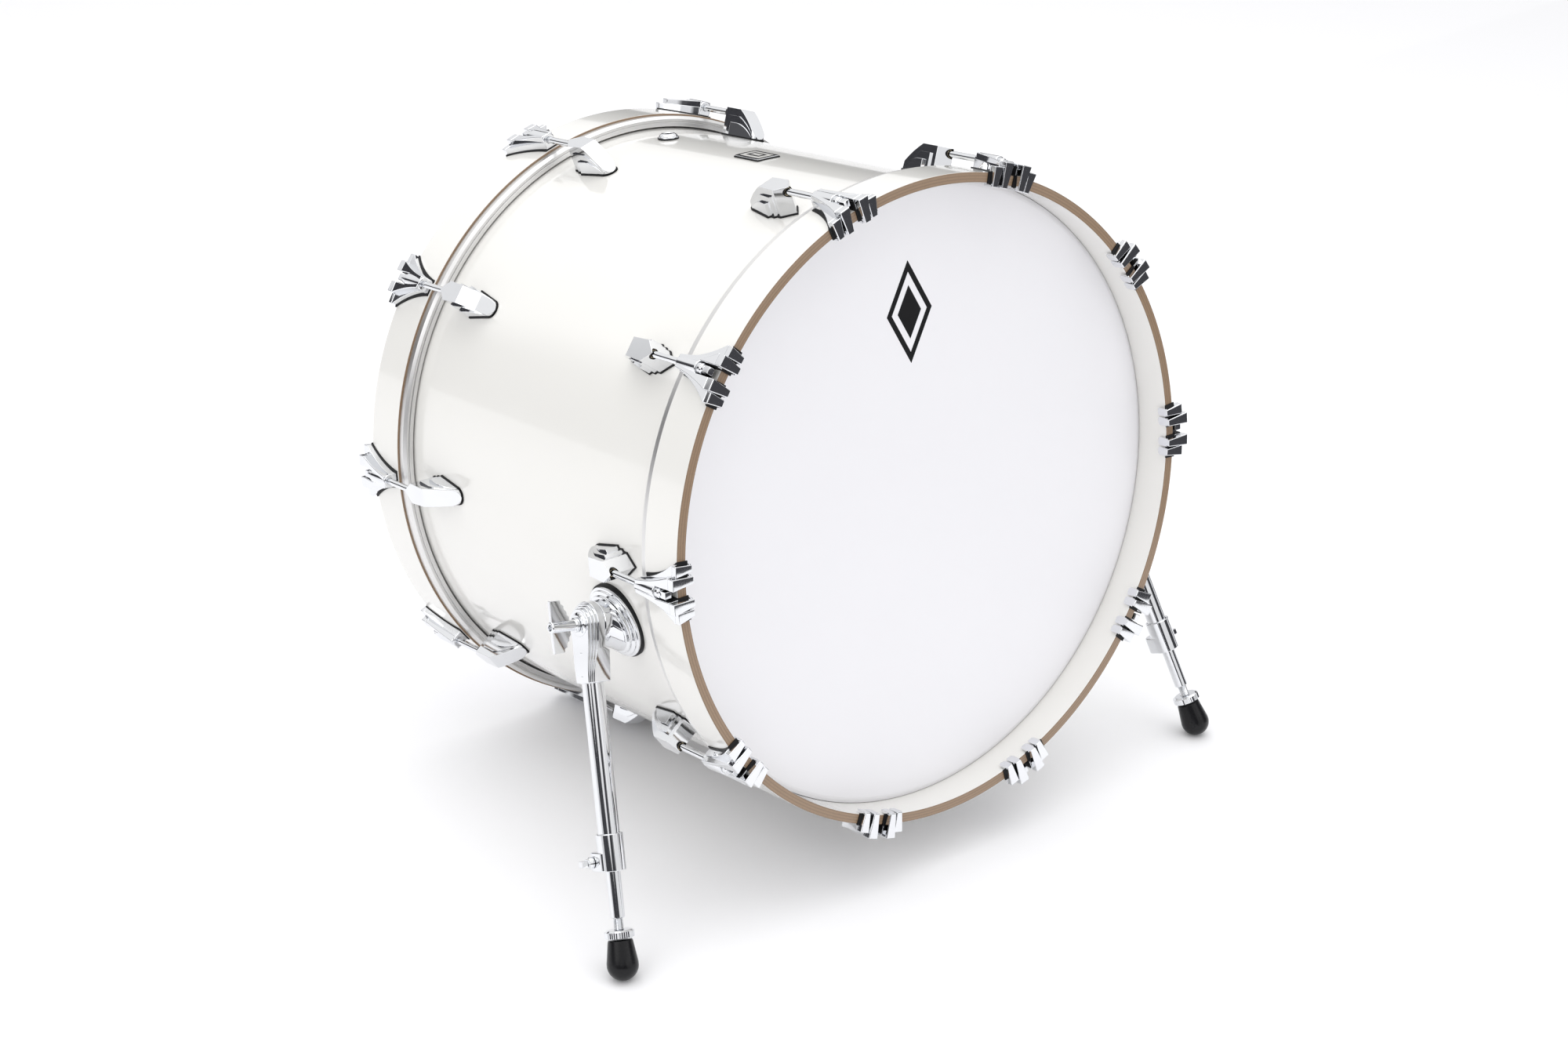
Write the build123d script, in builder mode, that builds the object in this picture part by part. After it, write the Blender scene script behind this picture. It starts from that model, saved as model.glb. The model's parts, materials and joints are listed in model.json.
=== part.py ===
from build123d import *
from math import asin, atan2, cos, hypot, radians, sin
import os

# Bass drum, 22 x 16 in, standing on its two spurs and on the bottom of its rear hoop.
# Millimetres, +Z up, the front head towards -Y. The origin is on the floor under the drum's middle.

# ---------------------------------------------------------------- driving dimensions
inch = 25.4
shell_radius = 22 * inch / 2
shell_depth = 16 * inch
shell_wall = 7.0

hoop_outer = 292.5
hoop_wall = 9.0
hoop_depth = 44.0
hoop_edge = 1.0              # rounding of the hoop's edges
head_recess = 33.3           # hoop face to the playing surface
head_film = 0.4

flesh_outer = 290.8
flesh_inner = 281.2
flesh_depth = 9.0

stations = 10                # claws, rods and lugs at each end
first_station = 18.0         # degrees from the top
rod_circle = 301.0
rod_radius = 3.0

lug_start = 75.0             # hoop face to the lug's prow
lug_crest = 26.5             # lug height over the shell
lug_gasket = 1.5
inner_seat = 0.1             # a flat washer's stand-off inside the round shell
lug_screw_depths = (95.0, 117.0)
lug_screw_radius = 2.5
nut_radius = 4.9

washer_thickness = 1.0
claw_gasket = 1.0
claw_slot = 5.2              # half the width of the slot over the rod head
claw_neck_depth = 40.0
claw_seat_depth = 15.5       # hoop face to the face the rod's head pulls on

vent_depth = 370.0
vent_hole = 4.0
vent_barrel = 6.0
vent_flange = 9.6

badge_length = 36.0
badge_width = 27.0
badge_depth = 236.5

spur_angle = 102.6           # degrees from the top, on each side
spur_depth = 117.5           # hoop face to the spur's centre
spur_splay = 10.3            # degrees outwards
spur_rake = 17.4             # degrees forwards
pivot_height = 33.0          # shell to the leg's centre line, along the pivot
tube_radius = 9.5
tube_bore = 8.0
leg_rod_radius = 6.35
leg_thread_radius = 4.4
foot_radius = 13.75

# Distances down the leg from its pivot
tube_start = 24.0
socket_end = 50.0
clamp_start = 179.0
tube_end = 196.0
clamp_end = 210.6
rod_start = 81.0
rod_end = 251.1
nut_start = 261.1
nut_end = 268.9
foot_start = 269.4
foot_centre = 291.0
thread_end = 284.0

fit = 0.05                   # radial clearance of a sliding or turning fit
gap = 0.3                    # clearance between pieces that pass each other

# ---------------------------------------------------------------- stance
overall_depth = shell_depth + 2 * head_recess
hoop_inner = hoop_outer - hoop_wall

splay = radians(spur_splay)
rake = radians(spur_rake)
station = radians(spur_angle)
pivot_out = shell_radius * sin(station) + pivot_height * cos(splay)
pivot_up = shell_radius * cos(station) + pivot_height * sin(splay)
foot_depth = spur_depth - foot_centre * sin(rake)
foot_drop = foot_centre * cos(splay) * cos(rake) - pivot_up

# The floor touches both round feet and the rounded bottom edge of the rear hoop
reach = overall_depth - hoop_edge - foot_depth
drop = foot_drop - (hoop_outer - hoop_edge)
tilt = atan2(drop, reach) + asin((foot_radius - hoop_edge) / hypot(reach, drop))
centre_height = (
    (hoop_outer - hoop_edge) * cos(tilt) + (overall_depth / 2 - hoop_edge) * sin(tilt) + hoop_edge
)
rearwards = Vector(0, cos(tilt), -sin(tilt))
upwards = Vector(0, sin(tilt), cos(tilt))
middle = Vector(0, 0, centre_height)

# Each end's plane lies on its hoop's face: x up, y sideways, z into the drum
front_end = Plane(middle - rearwards * overall_depth / 2, x_dir=upwards, z_dir=rearwards)
rear_end = Plane(middle + rearwards * overall_depth / 2, x_dir=upwards, z_dir=-rearwards)


def drum_point(right, depth, up):
    """A place given to the right of, behind and above the front hoop's centre."""
    return front_end.from_local_coords(Vector(up, right, depth))


def drum_direction(right, depth, up):
    """A direction given as rightwards, rearwards and upwards along the drum."""
    return Vector(right, 0, 0) + rearwards * depth + upwards * up


def section_of(end):
    """The plane that holds a ring's section: x is the radius, y the depth behind the hoop's face."""
    return Plane(end.origin, x_dir=end.x_dir, z_dir=-end.y_dir)


def finish(piece, name):
    """Label a finished piece and write it."""
    piece.part.label = name
    export_step(piece.part, f"parts/{name}.step")


def ring(end, corners, rounding=0.0):
    """A ring about the drum's axis, from its section's corners (radius, depth)."""
    with BuildPart() as body:
        with BuildSketch(section_of(end)) as section:
            with BuildLine():
                Polyline(*corners, close=True)
            make_face()
            if rounding:
                fillet(section.vertices(), rounding)
        revolve(axis=Axis(end.origin, end.z_dir))
    return body


def around(end, radius, piece):
    """One copy of a piece at every station of an end."""
    with BuildPart(end) as row:
        with PolarLocations(radius, stations, first_station):
            add(piece.part)
    return row


# ---------------------------------------------------------------- shell, hoops and heads
def make_shell():
    """The ply shell: a tube with 45 degree bearing edges, drilled for its fittings."""
    front = head_recess
    rear = head_recess + shell_depth
    inner = shell_radius - shell_wall
    crown = 1.6              # the bearing edge stands in from the outer face
    slope = shell_wall - crown
    with BuildPart() as shell:
        with BuildSketch(section_of(front_end)):
            with BuildLine():
                Polyline(
                    (inner, front + slope),
                    (shell_radius - crown, front),
                    (shell_radius, front + crown),
                    (shell_radius, rear - crown),
                    (shell_radius - crown, rear),
                    (inner, rear - slope),
                    close=True,
                )
            make_face()
        revolve(axis=Axis(front_end.origin, front_end.z_dir))
        for end in (front_end, rear_end):
            for depth in lug_screw_depths:
                with Locations(end.offset(depth)):
                    with PolarLocations(shell_radius, stations, first_station):
                        Cylinder(lug_screw_radius + gap, 30, rotation=(0, 90, 0), mode=Mode.SUBTRACT)
        with Locations(vent_plane):
            Cylinder(vent_barrel, 40, mode=Mode.SUBTRACT)
        for side in (-1, 1):
            with Locations(spur_seat(side)):
                with Locations(*spur_screw_places):
                    Cylinder(lug_screw_radius + gap, 40, mode=Mode.SUBTRACT)
    return shell


def make_hoop(end):
    """A wooden hoop."""
    corners = [(hoop_inner, 0), (hoop_outer, 0), (hoop_outer, hoop_depth), (hoop_inner, hoop_depth)]
    return ring(end, corners, hoop_edge)


def make_flesh_hoop(end):
    """The head's aluminium channel, with a groove round the face turned to the shell."""
    front = hoop_depth
    back = hoop_depth + flesh_depth
    groove = (flesh_inner + flesh_outer) / 2
    corners = [
        (flesh_inner, front),
        (flesh_outer, front),
        (flesh_outer, back - 0.8),
        (flesh_outer - 0.8, back),
        (groove + 0.8, back),
        (groove + 0.8, back - 1.2),
        (groove - 0.8, back - 1.2),
        (groove - 0.8, back),
        (flesh_inner + 0.8, back),
        (flesh_inner, back - 0.8),
    ]
    channel = ring(end, corners)
    slot_depth = 5.0
    with BuildPart() as body:
        add(channel.part)
        with BuildSketch(section_of(end)):
            with Locations((hoop_inner - gap - head_film / 2, front + slot_depth / 2 - 0.5)):
                Rectangle(1.0, slot_depth + 1)
        revolve(axis=Axis(end.origin, end.z_dir), mode=Mode.SUBTRACT)
    return body


def make_head(end):
    """A plastic head: flat film, a step round the shell's edge and a collar down into the channel."""
    face = head_recess - head_film
    collar_inner = shell_radius + 0.6
    lip = hoop_inner - gap - head_film
    with BuildPart() as head:
        with BuildSketch(section_of(end)):
            with BuildLine():
                Polyline(
                    (0, face),
                    (shell_radius - 1.0, face),
                    (collar_inner + head_film, face + 2.4),
                    (lip + head_film, hoop_depth - 2.0),
                    (lip + head_film, hoop_depth + 3.5),
                    (lip, hoop_depth + 3.5),
                    (lip, hoop_depth - 2.0 + 0.2),
                    (collar_inner, face + 2.4 + 0.2),
                    (shell_radius - 1.0 - 0.2, face + head_film),
                    (0, face + head_film),
                    close=True,
                )
            make_face()
        revolve(axis=Axis(end.origin, end.z_dir))
    return head


# ---------------------------------------------------------------- lugs
# A lug is drawn at its station: x is the height over the shell, y goes round the shell and
# z is the depth behind the hoop's face. Three nested blocks share one pointed prow and one tail.
lug_tail = lug_start + 57.5
lug_layers = [
    # height, prow depth, half width at the prow's corner, where the tail's slope starts and ends
    (lug_crest, lug_start, 9.6, 106.0, 131.5),
    (lug_crest - 7.0, lug_start + 6.5, 11.4, 106.5, 129.0),
    (lug_crest - 13.5, lug_start + 13.0, 13.2, 108.0, 126.5),
]
lug_rod_height = rod_circle - shell_radius


def lug_outline(prow, half_width, grow=0.0):
    """The plan of one nested block: a pointed prow, tapering sides and a rounded tail."""
    corner = prow + 11.0
    tail_half = 7.6
    with BuildLine() as outline:
        Polyline(
            (-tail_half - grow, lug_tail - 5.5),
            (-half_width - grow, corner),
            (0, prow - grow * 1.3),
            (half_width + grow, corner),
            (tail_half + grow, lug_tail - 5.5),
        )
        ThreePointArc(
            (tail_half + grow, lug_tail - 5.5),
            (0, lug_tail + grow),
            (-tail_half - grow, lug_tail - 5.5),
        )
    return outline


def lug_block(height, prow, half_width, slope_start, slope_end):
    """One nested block, its tail sloping down in a soft curve to a low step."""
    step = 3.0
    with BuildPart() as block:
        with BuildSketch(Plane.YZ.offset(-2)):
            add(lug_outline(prow, half_width).line)
            make_face()
        extrude(amount=height + 2)
        with BuildSketch(Plane.XZ):
            with BuildLine():
                ThreePointArc(
                    (height, slope_start),
                    (height * 0.62 + 1.5, (slope_start + slope_end) / 2 + 1.0),
                    (step, slope_end),
                )
                Polyline(
                    (step, slope_end),
                    (step, lug_tail + 5),
                    (height + 5, lug_tail + 5),
                    (height + 5, slope_start),
                    (height, slope_start),
                )
            make_face()
        extrude(amount=40, both=True, mode=Mode.SUBTRACT)
    return block


def make_lug():
    """One chromed lug casting, bored from its prow for the rod and its swivel nut."""
    blocks = [lug_block(*layer) for layer in lug_layers]
    with BuildPart() as lug:
        for block in blocks:
            add(block.part)
        with Locations((-shell_radius, 0, 100)):
            Cylinder(shell_radius + lug_gasket, 120, mode=Mode.SUBTRACT)
        with Locations((lug_rod_height, 0, lug_start + 14)):
            Cylinder(nut_radius + fit, 32, mode=Mode.SUBTRACT)
        for depth in lug_screw_depths:
            with Locations((0, 0, depth)):
                Cylinder(lug_screw_radius, 24, rotation=(0, 90, 0), mode=Mode.SUBTRACT)
    return lug


def make_lug_gasket():
    """The rubber sheet under one lug."""
    with BuildPart() as gasket:
        for prow, half_width in ((layer[1], layer[2]) for layer in lug_layers):
            with BuildSketch(Plane.YZ.offset(-2)):
                add(lug_outline(prow, half_width, 1.0).line)
                make_face()
            extrude(amount=6)
        with Locations((-shell_radius, 0, 100)):
            Cylinder(shell_radius + lug_gasket, 120, mode=Mode.INTERSECT)
            Cylinder(shell_radius, 120, mode=Mode.SUBTRACT)
        for depth in lug_screw_depths:
            with Locations((0, 0, depth)):
                Cylinder(lug_screw_radius + gap, 24, rotation=(0, 90, 0), mode=Mode.SUBTRACT)
    return gasket


def make_swivel_nut():
    """The brass nut inside one lug."""
    length = 22.0
    start = lug_start + 4.0
    with BuildPart() as nut:
        with Locations((lug_rod_height, 0, start + length / 2)):
            Cylinder(nut_radius, length)
        chamfer(nut.edges().group_by(Axis.Z)[0], 0.8)
        with Locations((lug_rod_height, 0, start + length / 2)):
            Cylinder(rod_radius + fit, length + 1, mode=Mode.SUBTRACT)
    return nut


def make_lug_screws():
    """The two screws that hold one lug, put in from inside the shell."""
    head_top = -shell_wall - inner_seat - washer_thickness
    with BuildPart() as screws:
        for depth in lug_screw_depths:
            with BuildSketch(Plane.YZ.offset(head_top - 3.2)):
                with Locations((0, depth)):
                    Circle(4.6)
            extrude(amount=3.2)
            with BuildSketch(Plane.YZ.offset(head_top)):
                with Locations((0, depth)):
                    Circle(lug_screw_radius - fit)
            extrude(amount=17.5)
            with BuildSketch(Plane.YZ.offset(head_top - 3.2)):
                with Locations((0, depth)):
                    Rectangle(1.2, 6.0)
                    Rectangle(6.0, 1.2)
            extrude(amount=1.8, mode=Mode.SUBTRACT)
    return screws


def make_lug_washers():
    """The washers under the heads of one lug's screws."""
    with BuildPart() as washers:
        for depth in lug_screw_depths:
            with BuildSketch(Plane.YZ.offset(-shell_wall - inner_seat - washer_thickness)):
                with Locations((0, depth)):
                    Circle(6.0)
                    Circle(lug_screw_radius + gap, mode=Mode.SUBTRACT)
            extrude(amount=washer_thickness)
    return washers


# ---------------------------------------------------------------- claws and tension rods
# A claw is drawn at its station with x from the hoop's outside. Two petals fan out on each side of
# the slot: the inner one stands higher and further forward than the outer one.
claw_layers = [
    # top over the hoop, half width at the hoop's face, how far it stands in front of the hoop
    (11.0, 15.5, 8.5),
    (6.2, 25.0, 6.5),
]
claw_hump_radius = 6.2       # the round boss over the rod, from the neck to the slot
claw_hump_end = 41.0
claw_cheek_front = 9.5      # the boss runs on beside the slot to here
claw_cheek = 8.0             # half the width of the boss beside the slot
claw_lip_depth = 7.5         # how far the claw reaches along the hoop's inside
claw_lip = 2.2               # thickness of that lip


def claw_outline(width, front, grow=0.0):
    """The plan of one layer: a trumpet from the neck, straight past the hoop's face."""
    neck = 5.2 + grow
    wide = width + grow
    end = claw_neck_depth + grow
    middle = (neck + (wide - neck) * 0.36, end / 2)
    with BuildLine() as outline:
        ThreePointArc((neck, end), middle, (wide, 0))
        Polyline((wide, 0), (wide, -front), (-wide, -front), (-wide, 0))
        ThreePointArc((-wide, 0), (-middle[0], middle[1]), (-neck, end))
        Line((-neck, end), (neck, end))
    return outline


def hoop_zone(clearance, depth):
    """The room that the hoop and a sheet round it take up at a station."""
    with BuildPart() as zone:
        with Locations((-hoop_outer, 0, depth / 2 - clearance)):
            Cylinder(hoop_outer + clearance, depth)
            Cylinder(hoop_inner - clearance, depth + 2, mode=Mode.SUBTRACT)
    return zone


def make_claw():
    """One chromed claw hook, bored through its neck for the rod and slotted over the rod's head."""
    zone = hoop_zone(claw_gasket, 80)
    rod_height = rod_circle - hoop_outer
    lip_radius = hoop_inner - claw_gasket - claw_lip
    with BuildPart() as claw:
        for top, width, front in claw_layers:
            with BuildSketch(Plane.YZ.offset(-hoop_wall - claw_gasket - claw_lip - 2)):
                add(claw_outline(width, front).line)
                make_face()
            extrude(amount=hoop_wall + claw_gasket + claw_lip + 2 + top)
        with BuildSketch(Plane.XY.offset(claw_seat_depth)):
            with Locations((rod_height, 0)):
                Circle(claw_hump_radius)
            with Locations((rod_height / 2, 0)):
                Rectangle(rod_height, 2 * claw_hump_radius)
        extrude(amount=claw_hump_end - claw_seat_depth)
        with BuildSketch(Plane.XY.offset(claw_cheek_front)):
            with Locations((rod_height, 0)):
                Circle(claw_cheek)
            with Locations((rod_height / 2, 0)):
                Rectangle(rod_height, 2 * claw_cheek)
            with Locations((rod_height + claw_hump_radius + 5, 0)):
                Rectangle(10, 4 * claw_cheek, mode=Mode.SUBTRACT)
        extrude(amount=claw_seat_depth + 6 - claw_cheek_front)
        with Locations((-hoop_outer, 0, claw_lip_depth + 50)):
            Cylinder(hoop_inner - claw_gasket, 100, mode=Mode.SUBTRACT)
        with Locations((-hoop_outer, 0, 0)):
            Cylinder(lip_radius, 200, mode=Mode.SUBTRACT)
        add(zone.part, mode=Mode.SUBTRACT)
        slot_back = claw_seat_depth
        slot_front = -20
        with Locations((0, 0, (slot_back + slot_front) / 2)):
            Box(60, 2 * claw_slot, slot_back - slot_front, mode=Mode.SUBTRACT)
        with Locations((rod_height, 0, 40)):
            Cylinder(rod_radius + gap, 60, mode=Mode.SUBTRACT)
    return claw


def make_claw_gasket():
    """The rubber sheet between one claw and the hoop."""
    zone = hoop_zone(claw_gasket, 80)
    hoop = hoop_zone(0, 80)
    width = claw_layers[-1][1]
    with BuildPart() as gasket:
        with BuildSketch(Plane.YZ.offset(-20)):
            add(claw_outline(width, 3.0, 1.0).line)
            make_face()
        extrude(amount=30)
        add(zone.part, mode=Mode.INTERSECT)
        add(hoop.part, mode=Mode.SUBTRACT)
        with Locations((-hoop_outer, 0, claw_lip_depth + 50)):
            Cylinder(hoop_inner + 1, 100, mode=Mode.SUBTRACT)
        with Locations((0, 0, -claw_gasket)):
            Box(60, 2 * claw_slot + 2, 12, mode=Mode.SUBTRACT)
    return gasket


def make_tension_rod():
    """One rod: a square head for the drum key, a collar and a long shank, drawn on its own axis."""
    collar_end = claw_seat_depth - washer_thickness
    square = 6.35
    head_start = 1.5
    head_length = 7.5
    with BuildPart() as rod:
        with Locations((0, 0, head_start + head_length / 2)):
            Box(square, square, head_length)
        chamfer(rod.edges().group_by(Axis.Z)[0], 0.6)
        with BuildSketch(Plane.XZ):
            with BuildLine():
                Polyline(
                    (0, 7),
                    (3.9, 7),
                    (3.9, collar_end - 4.2),
                    (4.9, collar_end - 3.2),
                    (4.9, collar_end),
                    (rod_radius, collar_end),
                    (rod_radius, lug_start + 30),
                    (0, lug_start + 30),
                    close=True,
                )
            make_face()
        revolve(axis=Axis.Z)
    return rod


def make_rod_washer():
    """The washer under one rod's collar."""
    with BuildPart() as washer:
        with BuildSketch(Plane.XY.offset(claw_seat_depth - washer_thickness)):
            Circle(4.9)
            Circle(rod_radius + gap, mode=Mode.SUBTRACT)
        extrude(amount=washer_thickness)
    return washer


# ---------------------------------------------------------------- vent and badge
vent_plane = Plane(
    drum_point(0, vent_depth, shell_radius), x_dir=drum_direction(0, 1, 0), z_dir=drum_direction(0, 0, 1)
)
badge_plane = Plane(
    drum_point(0, badge_depth, shell_radius), x_dir=drum_direction(0, 1, 0), z_dir=drum_direction(0, 0, 1)
)


def make_vent():
    """The air vent: a domed flange on a threaded barrel, bored right through."""
    with BuildPart() as vent:
        with BuildSketch(Plane(vent_plane.origin, x_dir=vent_plane.x_dir, z_dir=-vent_plane.y_dir)):
            with BuildLine():
                Polyline((vent_flange, 1.4), (vent_barrel - fit, 1.4), (vent_barrel - fit, -14))
                Polyline((vent_barrel - fit, -14), (vent_hole, -14), (vent_hole, 4.6), (5.2, 5.2))
                ThreePointArc((5.2, 5.2), (8.2, 4.0), (vent_flange, 1.4))
            make_face()
        revolve(axis=Axis(vent_plane.origin, vent_plane.z_dir))
    return vent


def make_vent_gasket():
    """The vent's rubber ring, hollowed below to sit on the round shell."""
    with BuildPart() as gasket:
        with Locations(vent_plane):
            Cylinder(vent_flange + 0.5, 5)
            Cylinder(vent_barrel + fit, 6, mode=Mode.SUBTRACT)
        with Locations(vent_plane.offset(1.4 + 5)):
            Cylinder(20, 10, mode=Mode.SUBTRACT)
        with Locations(front_end.offset(vent_depth)):
            Cylinder(shell_radius, 60, mode=Mode.SUBTRACT)
    return gasket


def make_vent_nut():
    """The nut that holds the vent from inside."""
    with BuildPart() as nut:
        with BuildSketch(vent_plane.offset(-shell_wall - 4.2)):
            RegularPolygon(9.0, 6)
            Circle(vent_barrel, mode=Mode.SUBTRACT)
        extrude(amount=4.0)
    return nut


def badge_slab(length, width, low, high):
    """A slab of the shell's own roundness on top of the drum."""
    with BuildPart() as slab:
        with BuildSketch(badge_plane.offset(-3)):
            RectangleRounded(length, width, 2.0)
        extrude(amount=10)
        with Locations(front_end.offset(badge_depth)):
            Cylinder(shell_radius + high, 100, mode=Mode.INTERSECT)
            Cylinder(shell_radius + low, 100, mode=Mode.SUBTRACT)
    return slab


def make_badge():
    """A plain badge plate with a raised border."""
    plate = badge_slab(badge_length - 2, badge_width - 2, 1.0, 2.2)
    field = badge_slab(badge_length - 7, badge_width - 7, 1.7, 4.0)
    with BuildPart() as badge:
        add(plate.part)
        add(field.part, mode=Mode.SUBTRACT)
    return badge


# ---------------------------------------------------------------- spurs
# Each spur is drawn for one side: -1 is the left of the drum seen from the front, +1 the right.
spur_screw_places = [(0, 20.0), (0, -20.0), (20.0, 0)]
flange_radius = 33.5
seat_height = 2.0            # the gasket's thickness at the spur's centre
neck_radius = 19.0
head_inner = 6.0             # the leg's centre line to the head's inner face
head_layers = [
    # radius, how far outwards it reaches
    (19.0, 1.0),
    (17.4, 3.4),
    (15.6, 5.8),
    (13.6, 8.2),
]
socket_radius = 12.5
wing_bolt_start = 10.6
wing_bolt_end = 38.0
clamp_radius = 11.75
screw_offset = 10.5          # the clamp screw's axis behind the leg
screw_drop = 202.5           # and down from the pivot
clamp_screw_radius = 3.0
boss_height = 16.5


def spur_seat(side):
    """The plane on the shell at a spur's centre, facing outwards."""
    outwards = drum_direction(side * sin(station), 0, cos(station))
    centre = drum_point(side * shell_radius * sin(station), spur_depth, shell_radius * cos(station))
    return Plane(centre, x_dir=drum_direction(0, 1, 0), z_dir=outwards)


def pivot_plane(side):
    """The plane square to the pivot through the leg: z along the pivot, x down the leg."""
    outwards = drum_direction(side * cos(splay), 0, sin(splay))
    down = drum_direction(side * sin(splay) * cos(rake), -sin(rake), -cos(splay) * cos(rake))
    centre = drum_point(side * pivot_out, spur_depth, pivot_up)
    return Plane(centre, x_dir=down, z_dir=outwards)


def leg_plane(side):
    """The plane square to the leg at its pivot: z down the leg, x along the pivot."""
    pivot = pivot_plane(side)
    return Plane(pivot.origin, x_dir=pivot.z_dir, z_dir=pivot.x_dir)


def leg_section(side):
    """The plane that holds a leg piece's section: x is the radius, y the distance down the leg."""
    leg = leg_plane(side)
    return Plane(leg.origin, x_dir=leg.x_dir, z_dir=-leg.y_dir)


def turned(side, corners):
    """A piece turned about the leg, from its section's corners (radius, distance)."""
    leg = leg_plane(side)
    with BuildPart() as body:
        with BuildSketch(leg_section(side)):
            with BuildLine():
                Polyline(*corners, close=True)
            make_face()
        revolve(axis=Axis(leg.origin, leg.z_dir))
    return body


def make_spur_gasket(side):
    """The round rubber sheet under a spur's base, hollowed to sit on the shell."""
    seat = spur_seat(side)
    with BuildPart() as gasket:
        with Locations(seat):
            Cylinder(flange_radius + 1.5, 2 * seat_height + 10)
        with Locations(seat.offset(seat_height + 10)):
            Cylinder(60, 20, mode=Mode.SUBTRACT)
        with Locations(front_end.offset(spur_depth)):
            Cylinder(shell_radius, 120, mode=Mode.SUBTRACT)
        with Locations(seat):
            with Locations(*spur_screw_places):
                Cylinder(lug_screw_radius + gap, 40, mode=Mode.SUBTRACT)
    return gasket


def make_spur_base(side):
    """The base on the shell: stepped flange and a neck that leans up to the pivot."""
    seat = spur_seat(side)
    pivot = pivot_plane(side)
    with BuildPart() as base:
        with BuildSketch(seat.offset(seat_height)):
            Circle(flange_radius)
        extrude(amount=2.5)
        with BuildSketch(seat.offset(seat_height + 2.5)):
            Circle(flange_radius - 2.5)
        extrude(amount=1.5)
        with BuildSketch(seat.offset(seat_height + 4.0)):
            Circle(flange_radius - 6.0)
        extrude(amount=3.0)
        with BuildSketch(seat.offset(seat_height + 7.0)):
            Circle(flange_radius - 8.5)
        with BuildSketch(pivot.offset(-head_inner - 6.0)):
            Circle(neck_radius)
        loft()
        with BuildSketch(pivot.offset(-head_inner - 6.0)):
            Circle(neck_radius)
        extrude(amount=6.0 - gap)
        with Locations(pivot.offset(-head_inner - 5)):
            Cylinder(4.0, 20, mode=Mode.SUBTRACT)
        with Locations(seat):
            with Locations(*spur_screw_places):
                Cylinder(lug_screw_radius, 16, mode=Mode.SUBTRACT)
    return base


def make_spur_screws(side):
    """The screws that hold a spur's base, put in from inside the shell."""
    seat = spur_seat(side)
    with BuildPart() as screws:
        for place in spur_screw_places:
            with BuildSketch(seat.offset(-shell_wall - 5.5)):
                with Locations(place):
                    Circle(4.6)
            extrude(amount=3.2)
            with BuildSketch(seat.offset(-shell_wall - 5.5)):
                with Locations(place):
                    Circle(lug_screw_radius - fit)
            extrude(amount=19.5)
            with BuildSketch(seat.offset(-shell_wall - 5.5)):
                with Locations(place):
                    Rectangle(1.2, 6.0)
                    Rectangle(6.0, 1.2)
            extrude(amount=1.8, mode=Mode.SUBTRACT)
    return screws


def make_spur_backing(side):
    """The steel plate inside the shell that the screws pull on."""
    seat = spur_seat(side)
    with BuildPart() as backing:
        with BuildSketch(seat.offset(-shell_wall - 2.3)):
            Circle(27)
            with Locations(*spur_screw_places):
                Circle(lug_screw_radius + gap, mode=Mode.SUBTRACT)
        extrude(amount=4.0)
        with Locations(front_end.offset(spur_depth)):
            Cylinder(shell_radius - shell_wall, 120, mode=Mode.INTERSECT)
    return backing


def make_spur_head(side):
    """The swivelling casting: nested arches round the pivot and the socket for the leg's tube."""
    pivot = pivot_plane(side)
    leg = leg_plane(side)
    inner = -head_inner
    with BuildPart() as head:
        for radius, reach_out in head_layers:
            with BuildSketch(pivot.offset(inner)):
                Circle(radius)
                with BuildLine():
                    Polyline(
                        (0, radius),
                        (tube_start, radius),
                        (socket_end, 10.5 * radius / 19.0),
                        (socket_end, -10.5 * radius / 19.0),
                        (tube_start, -radius),
                        (0, -radius),
                        close=True,
                    )
                make_face()
            extrude(amount=reach_out - inner)
        with BuildSketch(pivot.offset(head_layers[-1][1])):
            Circle(11.5)
        extrude(amount=2.0, taper=25)
        with BuildSketch(leg.offset(tube_start)):
            Circle(socket_radius)
        extrude(amount=socket_end - tube_start)
        with Locations(pivot):
            Cylinder(4.0 + fit, 60, mode=Mode.SUBTRACT)
        with Locations(leg.offset(tube_start + 30)):
            Cylinder(tube_radius, 60, mode=Mode.SUBTRACT)
    return head


def make_wing_bolt(side):
    """The bolt through the pivot with its stepped wings and hexagon end."""
    pivot = pivot_plane(side)
    wing_plane = Plane(pivot.origin, x_dir=pivot.x_dir, z_dir=-pivot.y_dir)
    with BuildPart() as bolt:
        with BuildSketch(pivot.offset(-head_inner - 12)):
            Circle(4.0 - fit)
        extrude(amount=head_inner + 12 + wing_bolt_start)
        with BuildSketch(pivot.offset(wing_bolt_start)):
            Circle(6.4)
        extrude(amount=3.0)
        with BuildSketch(pivot.offset(wing_bolt_start + 3.0)):
            RegularPolygon(5.4, 6)
        extrude(amount=wing_bolt_end - wing_bolt_start - 3.0)
        for hand in (1, -1):
            with BuildSketch(wing_plane):
                with BuildLine():
                    Polyline(
                        (hand * 3.0, 19.0),
                        (hand * 8.0, 19.0),
                        (hand * 11.5, 21.0),
                        (hand * 13.0, 21.0),
                        (hand * 16.0, 23.5),
                        (hand * 17.5, 23.5),
                        (hand * 22.0, 26.0),
                        (hand * 22.5, 36.5),
                        (hand * 3.0, wing_bolt_end - 1.0),
                        close=True,
                    )
                make_face()
            extrude(amount=1.9, both=True)
        with Locations(pivot.offset(wing_bolt_end)):
            Cylinder(2.6, 10, mode=Mode.SUBTRACT)
    return bolt


def make_spur_tube(side):
    """The leg's outer tube."""
    return turned(
        side,
        [(tube_bore, tube_start), (tube_radius, tube_start), (tube_radius, tube_end), (tube_bore, tube_end)],
    )


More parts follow.
